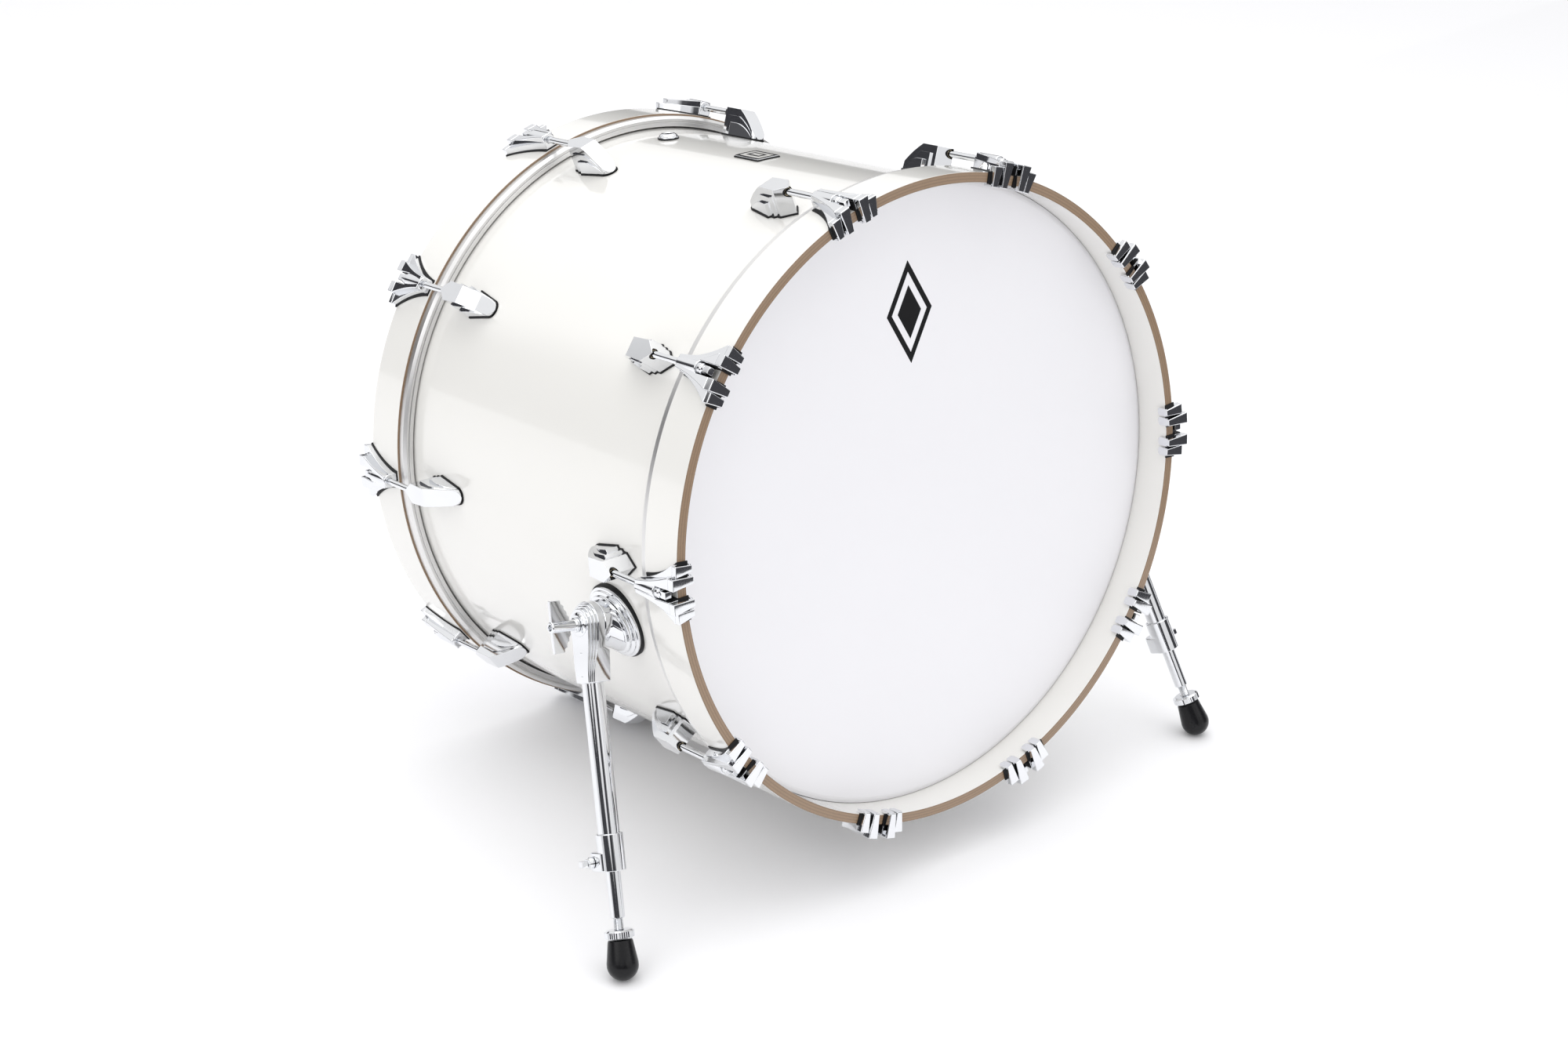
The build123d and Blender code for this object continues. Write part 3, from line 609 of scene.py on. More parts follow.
MAKERS = {
    "lacquer": lacquer,
    "ply": ply_edge,
    "film": film,
    "chrome": lambda tones: metal("chrome", tones.chrome, 0.035, 0.09),
    "brass": lambda tones: metal("turned_brass", tones.brass, 0.2, 0.25),
    "zinc": lambda tones: metal("zinc_plate", (0.62, 0.63, 0.64), 0.3, 0.25),
    "aluminium": brushed_ring,
    "rubber": lambda tones: rubber("black_rubber", tones.rubber, 0.42),
    "gloss_rubber": lambda tones: rubber("gloss_rubber", tones.rubber, 0.18),
    # black print on the badge and the mark, and painted shade in the nuts' bores and the vent's bore
    "ink_and_shade": lambda tones: rubber("black_ink_and_shade", (0.012, 0.012, 0.013), 0.4, 0.15),
}
made = {}


def finish(name):
    """A finish, made the first time it is asked for."""
    if name not in made:
        made[name] = MAKERS[name](bpy.context.scene.finishes)
    return made[name]


# ---------------------------------------------------------------- shell, hoops and heads
class DRUM_OT_shell(Operator):
    """Builds the ply shell with its bearing edges"""

    bl_idname = "drum.shell"
    bl_label = "Shell"

    def execute(self, context):
        sizes = context.scene.drum_sizes
        outer = sizes.shell_radius * MM
        inner = outer - sizes.shell_wall * MM
        film_gap = 0.4
        start = sizes.head_recess * MM + film_gap
        span = (Vector(mounts["batter_face"]["pos_m"]) - Vector(mounts["front_face"]["pos_m"])).length
        end = start + span * MM - 2 * film_gap
        crown = 1.6
        slope = outer - inner - crown
        section = [
            (inner, start + slope), (outer - crown, start), (outer, start + crown),
            (outer, end - crown), (outer - crown, end), (inner, end - slope),
        ]
        bm = assembled((turned(section, 0.3, sizes.steps), end_place("front")))
        finish_piece("shell_skin", bm, "drum", ["shell"], ["lacquer"])
        return {"FINISHED"}


class DRUM_OT_hoops(Operator):
    """Builds both ply hoops, lacquered outside and bare on their edges"""

    bl_idname = "drum.hoops"
    bl_label = "Hoops"

    def execute(self, context):
        sizes = context.scene.drum_sizes
        outer = sizes.hoop_radius * MM
        inner = outer - sizes.hoop_wall * MM
        depth = sizes.hoop_depth * MM
        ring = turned([(inner, 0), (outer, 0), (outer, depth), (inner, depth)], 0.9, sizes.steps)
        for face in ring.faces:
            face.material_index = int(abs(face.normal.z) > 0.6)
        for end in ENDS:
            finish_piece(
                f"{end}_hoop_ring", assembled((ring, end_place(end))), "drum",
                [f"{end}_hoop"], ["lacquer", "ply"],
            )
        return {"FINISHED"}


class DRUM_OT_heads(Operator):
    """Builds both heads: flat film, a step over the bearing edge and a collar"""

    bl_idname = "drum.heads"
    bl_label = "Heads"

    def execute(self, context):
        sizes = context.scene.drum_sizes
        face = sizes.head_recess * MM
        shell = sizes.shell_radius * MM
        lip = sizes.hoop_radius * MM - sizes.hoop_wall * MM - 0.3
        depth = sizes.hoop_depth * MM
        section = [
            (0, face), (shell - 1.4, face), (shell + 0.6, face + 0.5), (lip, face + 2.2),
            (lip, depth + 3.5), (lip - 0.4, depth + 3.5), (lip - 0.4, face + 3.0),
            (shell + 0.4, face + 1.0), (shell - 1.4, face + 0.4), (0, face + 0.4),
        ]
        shape = turned(section, 0.15, sizes.steps)
        for end in ENDS:
            bm = assembled((shape, end_place(end)))
            head = HEADS[end]
            finish_piece(f"{head}_sheet", bm, "drum", [head], ["film"])
        return {"FINISHED"}


class DRUM_OT_flesh_hoops(Operator):
    """Builds both heads' aluminium channels"""

    bl_idname = "drum.flesh_hoops"
    bl_label = "Flesh hoops"

    def execute(self, context):
        sizes = context.scene.drum_sizes
        front = sizes.hoop_depth * MM
        back = front + 9.0
        outer = sizes.hoop_radius * MM - 1.7
        inner = outer - 9.6
        section = [
            (inner, front + 0.05), (outer, front + 0.05), (outer, back - 2.6), (outer - 2.6, back),
            (outer - 4.2, back), (outer - 4.4, back - 1.4), (outer - 5.6, back - 1.4),
            (outer - 5.8, back), (inner, back),
        ]
        ring = turned(section, 0.35, sizes.steps)
        for end in ENDS:
            finish_piece(
                f"{end}_flesh_hoop_ring", assembled((ring, end_place(end))), "drum",
                [f"{end}_flesh_hoop"], ["aluminium"],
            )
        return {"FINISHED"}


# ---------------------------------------------------------------- lugs
LUG_LAYERS = (
    # height, set-back of the prow, half width, where the tail's slope starts and ends after the prow
    (0.0, 0.0, 9.6, 31.0, 56.5),
    (-7.0, 6.5, 11.4, 31.5, 54.0),
    (-13.5, 13.0, 13.2, 33.0, 51.5),
)
LUG_LENGTH = 57.5
NUT_RADIUS = 3.9
NUT_DEPTH = 23.5
LUG_BORE = 4.6


def lug_outline(prow, half_width, grow=0.0):
    """The plan of one block: a pointed prow, tapering sides and a rounded tail."""
    tail = 7.6 + grow
    corner = (half_width + grow, prow + 11.0)
    tip = (0, prow - grow * 1.3)
    turn = (tail, LUG_LENGTH - 5.5)
    curve = arc_through(turn, (0, LUG_LENGTH + grow), (-turn[0], turn[1]), 9)
    return [tip, corner, turn, *curve, (-turn[0], turn[1]), (-corner[0], corner[1])]


def lug_shape(sizes, rod_height):
    """One lug casting: nested blocks with sloping tails, bored through the prow for the nut."""
    crest = sizes.lug_crest * MM
    edge = sizes.chrome_edge * MM
    blocks = []
    for drop, prow, half_width, slope_start, slope_end in LUG_LAYERS:
        height = crest + drop
        bm = slab(lug_outline(prow, half_width), 0.2, height)
        low = 3.0
        bulge = ((height + low) / 2 + 1.3, (slope_start + slope_end) / 2 + 1.0)
        corners = [(height, slope_start), *arc_through((height, slope_start), bulge, (low, slope_end), 4)]
        corners.append((low, slope_end))
        for (x0, z0), (x1, z1) in zip(corners, corners[1:]):
            shave(bm, (x0, 0, z0), (z1 - z0, 0, x0 - x1))
        blocks.append(soften(bm, edge, 3))
    for number in (0, 1):
        drill = assembled((disc(LUG_BORE, -2, NUT_DEPTH + 0.5), shift(x=rod_height)))
        blocks[number] = bored(blocks[number], drill)
    return joined(*blocks)


class DRUM_OT_lugs(Operator):
    """Builds the lugs with their gaskets and brass swivel nuts, and a black ring round each nut as painted shade
    in its bore
    """

    bl_idname = "drum.lugs"
    bl_label = "Lugs"

    def execute(self, context):
        sizes = context.scene.hardware_sizes
        shell = context.scene.drum_sizes.shell_radius * MM
        rod_height = sizes.rod_circle * MM - shell
        prow = sizes.lug_prow * MM
        lug = lug_shape(sizes, rod_height)
        nut = turned([(3.1, 4), (NUT_RADIUS, 4), (NUT_RADIUS, NUT_DEPTH), (3.1, NUT_DEPTH)], 0.3, 32)
        # a black ring between each nut and the lug's bore: painted shade, where the bore only looks dark
        nut_shade_ring = turned(
            [(NUT_RADIUS, 3), (LUG_BORE - 0.05, 3), (LUG_BORE - 0.05, NUT_DEPTH), (NUT_RADIUS, NUT_DEPTH)],
            0.15, 32,
        )
        sheets = [
            slab(lug_outline(start, half_width, 1.0), -0.8, 1.5)
            for _, start, half_width, _, _ in LUG_LAYERS
        ]
        gasket = wrap(soften(joined(*sheets), 0.3, 1), shell)
        for end in ENDS:
            lugs, nuts, gaskets = bmesh.new(), bmesh.new(), bmesh.new()
            for place in station_places(end, shell):
                start = place @ shift(z=prow)
                stamp(lugs, lug, start)
                stamp(nuts, nut, start @ shift(x=rod_height))
                stamp(nuts, nut_shade_ring, start @ shift(x=rod_height), 1)
                stamp(gaskets, gasket, start)
            for name, bm, slot, node, materials in (
                ("lug_castings", lugs, "chrome", "lugs", ["chrome"]),
                ("brass_nuts_and_shade_rings", nuts, "brass", "swivel_nuts", ["brass", "ink_and_shade"]),
                ("lug_sheets", gaskets, "black_rubber", "lug_gaskets", ["rubber"]),
            ):
                finish_piece(f"{end}_{name}", bm, "drum", [f"{end}_{node}"], materials)
        return {"FINISHED"}


# ---------------------------------------------------------------- claws and tension rods
CLAW_LAYERS = (
    # top over the hoop, half width at the face, reach in front of it, half width and rise of the neck
    (10.8, 15.5, 8.4, 5.8, 3.6),
    (6.2, 25.0, 6.4, 6.4, 2.2),
)
CLAW_NECK = 40.0
CLAW_SEAT = 15.5
CLAW_TAPER = 0.64
HUMP_RADIUS = 6.2
SHEET_RIM = 1.6


def claw_curve(neck, width, grow=0.0):
    """One side of the trumpet from the neck to the hoop's face."""
    start = (neck + grow, CLAW_NECK + grow)
    end = (width + grow, 0)
    middle = (start[0] + (end[0] - start[0]) * 0.34, CLAW_NECK / 2)
    return [start, *arc_through(start, middle, end, 9), end]


def mirrored(bm):
    """The same shape on the other side of the slot."""
    return assembled((bm, Matrix.Diagonal((1, -1, 1, 1))))


def claw_tooth(top, low, inner, outer, reach, edge):
    """A tooth that comes down over the hoop's face and narrows towards the head."""
    tooth = block((low, inner, -reach), (top, outer, -1.0))
    middle = (inner + outer) / 2
    for vert in tooth.verts:
        if vert.co.x < 0:
            vert.co.y = middle + (vert.co.y - middle) * CLAW_TAPER
            if vert.co.z < -2:
                vert.co.z += 1.8
    return soften(tooth, edge, 3)


def claw_tongue(low, inner, outer):
    """The rounded lip that grips the inside of the hoop."""
    tongue = block((low, inner, -3.0), (low + 2.2, outer, 7.5))
    upright = [
        e for e in tongue.edges if abs(e.verts[0].co.x - e.verts[1].co.x) > 1 and e.verts[0].co.z > 0
    ]
    bmesh.ops.bevel(
        tongue, geom=upright, offset=2.5, segments=4, profile=0.5, affect="EDGES", material=-1
    )
    return soften(tongue, 0.4)


def claw_hump(rod_height):
    """The round boss over the rod, from the slot to the neck, with the rod's bore."""
    arc = round_points(HUMP_RADIUS, rod_height, pi * 15 / 16, pi / 16, 14)
    outline = [(-HUMP_RADIUS, 0.6), *arc, (HUMP_RADIUS, 0.6)]
    hump = assembled((slab(outline, CLAW_SEAT, CLAW_NECK + 1.0), SWAP_XZ))
    drill = assembled((disc(3.6, CLAW_SEAT - 1, CLAW_NECK + 5), shift(x=rod_height)))
    return bored(soften(hump, 0.9, 3, 50), drill)


def claw_shape(sizes, drum):
    """One claw: two stepped petals each side of the slot, their teeth and tongues, and the boss."""
    slot = sizes.claw_slot * MM
    edge = sizes.chrome_edge * MM
    low = -drum.hoop_wall * MM - 3.2
    rod_height = (sizes.rod_circle - drum.hoop_radius) * MM
    shapes = [claw_hump(rod_height)]
    inner = slot
    for top, width, reach, neck, rise in CLAW_LAYERS:
        right = [*claw_curve(neck, width), (width, -1.0)]
        outline = [
            *right, (slot, -1.0), (slot, CLAW_SEAT), (-slot, CLAW_SEAT), (-slot, -1.0),
            *[(-y, z) for y, z in reversed(right)],
        ]
        body = slab(outline, 0.4, top)
        for vert in body.verts:
            if vert.co.x > 1:
                vert.co.x += rise * max(vert.co.z, 0) / CLAW_NECK
        shapes.append(soften(body, edge, 3))
        for part in (
            claw_tooth(top, low, inner, width, reach, edge), claw_tongue(low, inner + 1.0, width - 1.0),
        ):
            shapes += [mirrored(part), part]
        inner = width - 0.4
    return wrap(joined(*shapes), drum.hoop_radius * MM)


def claw_sheet(sizes, drum):
    """The rubber between a claw and the hoop, a little larger than the claw, with black strips up the slot's walls
    and across its end as painted shade.
    """
    slot = sizes.claw_slot * MM
    _, width, _, neck, _ = CLAW_LAYERS[-1]
    inner = slot - 0.8
    side = [*claw_curve(neck, width, SHEET_RIM), (width + SHEET_RIM, -1.1)]
    outline = [
        *side, (inner, -1.1), (inner, 8.0), (-inner, 8.0), (-inner, -1.1),
        *[(-y, z) for y, z in reversed(side)],
    ]
    sheet = soften(slab(outline, -0.5, 1.0), 0.25, 1)
    lip = block((-drum.hoop_wall * MM - 0.9, inner, -1.2), (1.0, width + SHEET_RIM, 0.2))
    # black strips up the slot's walls and across the slot's end: painted shade, where the slot only looks dark
    slot_wall_shade = block((0.5, slot - 0.5, -1.0), (8.5, slot + 0.1, CLAW_SEAT))
    end = block((0.5, 0.5 - slot, CLAW_SEAT - 0.5), (5.0, slot - 0.5, CLAW_SEAT + 0.1))
    parts = (sheet, end, mirrored(lip), lip, mirrored(slot_wall_shade), slot_wall_shade)
    return wrap(joined(*parts), drum.hoop_radius * MM)


def rod_shape(sizes):
    """One tension rod: a square head, a collar under it and a long shank."""
    radius = sizes.rod_radius * MM
    collar = CLAW_SEAT - 1.0
    shank = turned(
        [
            (0, 7.5), (3.9, 7.5), (3.9, collar - 4.2), (4.9, collar - 3.2), (4.9, collar),
            (radius, collar), (radius, 104), (0, 104),
        ],
        0.35, 32,
    )
    return joined(shank, soften(block((-3.17, -3.17, 1.5), (3.17, 3.17, 9)), 0.5))


class DRUM_OT_claws(Operator):
    """Builds the claws, their rubber sheets with painted shade in the slots, the tension rods and the rods'
    washers
    """

    bl_idname = "drum.claws"
    bl_label = "Claws and rods"

    def execute(self, context):
        sizes = context.scene.hardware_sizes
        drum = context.scene.drum_sizes
        hoop = drum.hoop_radius * MM
        claw = claw_shape(sizes, drum)
        sheet = claw_sheet(sizes, drum)
        rod = rod_shape(sizes)
        under = CLAW_SEAT - 1
        washer = turned([(3.3, under), (4.9, under), (4.9, CLAW_SEAT), (3.3, CLAW_SEAT)], 0.2, 32)
        for end in ENDS:
            claws, sheets, rods, washers = (bmesh.new() for _ in range(4))
            for place in station_places(end, hoop):
                stamp(claws, claw, place)
                stamp(sheets, sheet, place)
                rod_place = place @ shift(x=sizes.rod_circle * MM - hoop)
                stamp(rods, rod, rod_place)
                stamp(washers, washer, rod_place)
            for name, bm, slot, node, material in (
                ("claw_hooks", claws, "chrome", "claws", "chrome"),
                ("claw_sheets_and_slot_shade", sheets, "black_rubber", "claw_gaskets", "rubber"),
                ("rods", rods, "chrome", "tension_rods", "chrome"),
                ("washers", washers, "zinc_plated_steel", "rod_washers", "zinc"),
            ):
                finish_piece(f"{end}_{name}", bm, "drum", [f"{end}_{node}"], [material])
        return {"FINISHED"}


# ---------------------------------------------------------------- vent, badge and mark
class DRUM_OT_vent(Operator):
    """Builds the air vent's dome, with a black disc down its bore as painted shade"""

    bl_idname = "drum.vent"
    bl_label = "Air vent"

    def execute(self, context):
        vent = mounts["air_vent_bore"]
        place = placed(vent["pos_m"], rearwards, vent["axis"])
        dome = [
            (4.0, -14), (5.9, -14), (5.9, 1.2), (9.6, 1.2), (9.4, 2.0), (8.4, 3.7), (6.6, 4.9),
            (5.2, 5.2), (4.0, 4.6),
        ]
        # a black disc down the bore: painted shade standing in for the dark inside of the shell
        vent_shade_disc = disc(4.02, -13, 0.3)
        bm = assembled((turned(dome, 0.25, 64), place), (vent_shade_disc, place, 1))
        finish_piece("air_vent_dome_and_bore_shade", bm, "drum", ["air_vent"], ["chrome", "ink_and_shade"])
        return {"FINISHED"}


def rounded_plate(half_x, half_y, corner, low, high):
    """A plate on z with rounded corners."""
    bm = block((-half_x, -half_y, low), (half_x, half_y, high))
    upright = [e for e in bm.edges if abs(e.verts[0].co.z - e.verts[1].co.z) > TINY]
    bmesh.ops.bevel(
        bm, geom=upright, offset=corner, segments=5, profile=0.5, affect="EDGES", material=-1
    )
    return bm


def bent_plate(half_length, half_width, corner, low, high):
    """A plate that lies on the shell: x is its height, y runs round the drum, z along it."""
    radius = bpy.context.scene.drum_sizes.shell_radius * MM
    bm = assembled((rounded_plate(half_length, half_width, corner, low, high), SWAP_XZ))
    bmesh.ops.subdivide_edges(
        bm, edges=[e for e in bm.edges if abs(e.verts[0].co.y - e.verts[1].co.y) > 4], cuts=8,
        use_grid_fill=True,
    )
    return wrap(bm, radius)


class DRUM_OT_badge(Operator):
    """Builds the plain badge plate with its raised border and field"""

    bl_idname = "drum.badge"
    bl_label = "Badge"

    def execute(self, context):
        shell = context.scene.drum_sizes.shell_radius * MM
        low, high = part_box("badge")
        middle = end_place("front").inverted() @ ((low + high) / 2)
        place = end_place("front") @ shift(x=shell, z=middle.z)
        bm = assembled(
            (soften(bent_plate(17.0, 12.5, 1.6, 0.9, 1.9), 0.25), place),
            (bent_plate(15.4, 10.9, 1.2, 1.0, 1.96), place, 1),
            (soften(bent_plate(13.6, 9.1, 1.0, 1.0, 2.05), 0.15), place, 2),
            (bent_plate(9.0, 5.2, 0.8, 1.0, 2.11), place, 1),
            (bent_plate(6.2, 2.6, 0.6, 1.0, 2.17), place, 2),
        )
        finish_piece("badge_plate", bm, "drum", ["badge"], ["chrome", "ink_and_shade", "lacquer"])
        return {"FINISHED"}


class DRUM_OT_mark(Operator):
    """Builds the plain lozenge printed on the front head"""

    bl_idname = "drum.mark"
    bl_label = "Front mark"

    def execute(self, context):
        face = context.scene.drum_sizes.head_recess * MM
        half_height = 46.0
        half_width = 26.0
        ink_high = -0.12
        bm = bmesh.new()
        for outer, inner in ((1.0, 0.78), (0.52, 0.0)):
            for top in (1, -1):
                for right in (1, -1):
                    points = [
                        (half_height * outer * top, 0), (0, half_width * outer * right),
                        (0, half_width * inner * right), (half_height * inner * top, 0),
                    ]
                    if not inner:
                        points = points[:2] + [(0, 0)]
                    corners = [bm.verts.new((x, y, ink_high)) for x, y in points]
                    bm.faces.new(corners)
        bmesh.ops.remove_doubles(bm, verts=bm.verts, dist=MERGE)
        bmesh.ops.recalc_face_normals(bm, faces=bm.faces)
        bmesh.ops.solidify(bm, geom=bm.faces[:], thickness=0.1)
        print_sheet = assembled((bm, end_place("front") @ shift(x=170, y=-2, z=face)))
        finish_piece("front_mark", print_sheet, "drum", [], ["ink_and_shade"])
        return {"FINISHED"}


# ---------------------------------------------------------------- spurs
HEAD_LAYERS = (
    # half width round the pivot, how far outwards; half width and reach at the socket's end
    (19.0, 1.0, 11.8, 6.6),
    (17.4, 3.4, 11.0, 8.0),
    (15.6, 5.8, 10.1, 9.3),
    (13.6, 8.2, 9.1, 10.6),
)
HEAD_INNER = -6.0
TUBE_START = 24.0
SOCKET_END = 50.0
TUBE_END = 196.0
CLAMP_START = 179.0
CLAMP_END = 210.6
ROD_START = 81.0
ROD_END = 251.1
NUT_START = 261.1
NUT_END = 268.9
FOOT_START = 269.4
FOOT_CENTRE = 291.0
THREAD_PITCH = 1.25
THREAD_CRESTS = 26
THREAD_ROOT = 3.8


def spur_base_shape(side, sizes):
    """The base: a stepped flange and a neck that leans from the seat up to the pivot."""
    flange = sizes.flange_radius * MM
    seat = seat_place(side)
    pivot = pivot_place(side)
    steps = [
        (0, 1.8), (flange, 1.8), (flange, 4.4), (flange - 2.5, 5.2), (flange - 2.5, 6.4),
        (flange - 6, 7.4), (flange - 6, 9.4), (flange - 9, 10.6), (0, 10.6),
    ]
    neck = bmesh.new()
    lean = seat.inverted() @ pivot
    rings = [
        (shift(z=8.0), flange - 8.5), (shift(z=10.6), flange - 8.9),
        (lean @ shift(z=HEAD_INNER - 8), 19.6), (lean @ shift(z=HEAD_INNER - 5.0), 19.0),
        (lean @ shift(z=HEAD_INNER - 0.9), 19.0), (lean @ shift(z=HEAD_INNER - 0.35), 18.4),
    ]
    loops = []
    for place, radius in rings:
        ring = bmesh.ops.create_circle(neck, segments=64, radius=radius, matrix=place)
        loops.append(list({e for v in ring["verts"] for e in v.link_edges}))
    for first, second in zip(loops, loops[1:]):
        bmesh.ops.bridge_loops(neck, edges=first + second)
    bmesh.ops.holes_fill(neck, edges=loops[-1])
    bmesh.ops.holes_fill(neck, edges=loops[0])
    bmesh.ops.recalc_face_normals(neck, faces=neck.faces)
    panel = [
        f for f in neck.faces
        if len(f.verts) == 4 and f.normal.x < -0.72 and 10.7 < f.calc_center_median().z < 26
    ]
    bmesh.ops.inset_region(neck, faces=panel, thickness=1.4, depth=0)
    bmesh.ops.inset_region(neck, faces=panel, thickness=0.5, depth=-0.9)
    return assembled((turned(steps, 0.5, 96), seat), (neck, seat))


def spur_head_shape(edge):
    """The swivelling casting, drawn on the pivot: nested arches that run down to a blocky socket."""
    solids = []
    for radius, reach, narrow, low_reach in HEAD_LAYERS:
        arch = round_points(radius, 0, 0, -pi, 24)
        bm = slab([*arch, (-narrow, SOCKET_END), (narrow, SOCKET_END)], HEAD_INNER, reach)
        for down in (14.0, 20.5, 24.0, 30.0, 38.0, 44.0):
            bmesh.ops.bisect_plane(
                bm, geom=bm.verts[:] + bm.edges[:] + bm.faces[:], plane_co=(0, 0, down),
                plane_no=(0, 0, 1),
            )
        for vert in bm.verts:
            if vert.co.x > 0:
                vert.co.x += (low_reach - reach) * eased(vert.co.z, 8.0, 36.0)
            else:
                vert.co.x -= 4.6 * eased(vert.co.z, 20.2, 4.0)
        solids.append(soften(bm, edge, 3, 38))
    cap = turned([(0, 8.0), (10.8, 8.0), (10.2, 9.2), (8.0, 10.3), (0, 10.3)], 0.5, 48)
    return assembled((joined(*solids), SWAP_XZ), (cap,))


def wing_bolt_shape():
    """The wing bolt, drawn on the pivot: a collar, a barrel with a socket and two stepped wings."""
    barrel = turned(
        [
            (0, -18), (3.95, -18), (3.95, 10.6), (6.4, 10.6), (6.4, 13.6), (5.0, 14.2), (5.0, 37.2),
            (4.2, 38), (2.6, 38), (2.6, 33), (0, 33),
        ],
        0.4, 32,
    )
    wing = [
        (3.0, 18.5), (8.0, 18.5), (9.5, 20.5), (12.5, 20.5), (14.0, 23.0), (17.5, 23.0), (19.0, 26.0),
        (22.2, 26.0), (22.5, 36.6), (3.0, 37.0),
    ]
    plates = [soften(slab([(y * hand, z) for y, z in wing], -1.9, 1.9), 0.5, 2) for hand in (1, -1)]
    bolt = assembled((barrel,), *((plate, SWAP_XY) for plate in plates))
    bmesh.ops.recalc_face_normals(bolt, faces=bolt.faces)
    return bolt


def clamp_shape(sizes, hand):
    """The clamp, drawn on the leg: a sleeve with a block for its screw behind."""
    tube = sizes.tube_radius * MM
    rod = sizes.rod_radius * MM
    sleeve = turned(
        [
            (tube + 0.05, CLAMP_START), (11.75, CLAMP_START), (11.75, CLAMP_END), (rod + 0.1, CLAMP_END),
            (rod + 0.1, TUBE_END), (tube + 0.05, TUBE_END),
        ],
        0.6, 48,
    )
    boss = rounded_plate(12.6, 11.0, 6.5, CLAMP_END - 16.5, CLAMP_END - 0.3)
    boss = assembled((soften(boss, 0.9, 3, 50), shift(x=0.4, y=hand * 5.4)))
    near, far = sorted((6.0 * hand, 30.0 * hand))
    slit = block((-0.8, near, CLAMP_END - 30), (0.8, far, CLAMP_END + 5))
    boss = bored(boss, disc(rod + 0.1, CLAMP_END - 40, CLAMP_END + 5), slit)
    return joined(sleeve, boss)


def knurled(radius, low, high, count):
    """A round nut with a knurled rim."""
    valley = 0.965
    bm = disc(radius, low, high, count * 2)
    for number, vert in enumerate(sorted(bm.verts, key=lambda v: round(atan2(v.co.y, v.co.x), 4))):
        if (number // 2) % 2:
            vert.co.x *= valley
            vert.co.y *= valley
    return bm


class DRUM_OT_spur_bases(Operator):
    """Builds the spurs' bases and their rubber sheets"""

    bl_idname = "drum.spur_bases"
    bl_label = "Spur bases"

    def execute(self, context):
        sizes = context.scene.spur_sizes
        flange = sizes.flange_radius * MM
        for side in SIDES:
            finish_piece(
                f"{side}_spur_foundation", spur_base_shape(side, sizes), "drum",
                [f"{side}_spur_base"], ["chrome"],
            )
            ring = [(0, -2.2), (flange + 1.5, -2.2), (flange + 1.5, 1.6), (flange + 0.9, 2.1), (0, 2.1)]
            finish_piece(
                f"{side}_spur_sheet", assembled((turned(ring, 0.3, 96), seat_place(side))), "drum",
                [f"{side}_spur_gasket"], ["rubber"],
            )
        return {"FINISHED"}


class DRUM_OT_spur_legs(Operator):
    """Builds the spurs' swivelling heads, tubes, clamps and wing bolts"""

    bl_idname = "drum.spur_legs"
    bl_label = "Spur legs"

    def execute(self, context):
        sizes = context.scene.spur_sizes
        edge = context.scene.hardware_sizes.chrome_edge * MM
        socket = turned(
            [(9.6, SOCKET_END + 0.5), (10.8, SOCKET_END + 0.5), (10.8, 44), (9.6, 44)], 0.4, 64
        )
        tube = turned([(8, TUBE_START), (9.5, TUBE_START), (9.5, TUBE_END), (8, TUBE_END)], 0.4, 64)
        for side, sign in SIDES.items():
            leg = leg_place(side)
            pivot = pivot_place(side)
            head = assembled((spur_head_shape(edge), pivot), (socket, leg))
            clamp = assembled((clamp_shape(sizes, -sign), leg))
            for name, bm, body, node in (
                ("spur_casting", head, "spur_leg", "spur_head"),
                ("leg_tube", assembled((tube, leg)), "spur_leg", "spur_tube"),
                ("leg_clamp", clamp, "spur_leg", "spur_clamp"),
                ("wing_screw", assembled((wing_bolt_shape(), pivot)), "wing_bolt_turning", "wing_bolt"),
                ("square_screw", clamp_screw_shape(side), "clamp_screw_turning", "clamp_screw"),
            ):
                finish_piece(
                    f"{side}_{name}", bm, f"{side}_{body}", [f"{side}_{node}"], ["chrome"]
                )
        return {"FINISHED"}


def clamp_screw_shape(side):
    """The clamp's screw with its flange and square head, at its place behind the leg."""
    joint = joints[f"{side}_clamp_screw_turn"]
    place = placed(joint["pos_m"], joints[f"{side}_leg_extension"]["axis"], joint["axis"])
    shank = turned(
        [
            (0, -9), (3.0, -9), (3.0, 13.6), (5.2, 13.6), (5.2, 15.6), (4.4, 16.5), (3.9, 17.2),
            (3.9, 19), (0, 19),
        ],
        0.3, 32,
    )
    square = soften(block((-2.8, -2.8, 18), (2.8, 2.8, 25)), 0.5)
    return assembled((joined(shank, square), place))


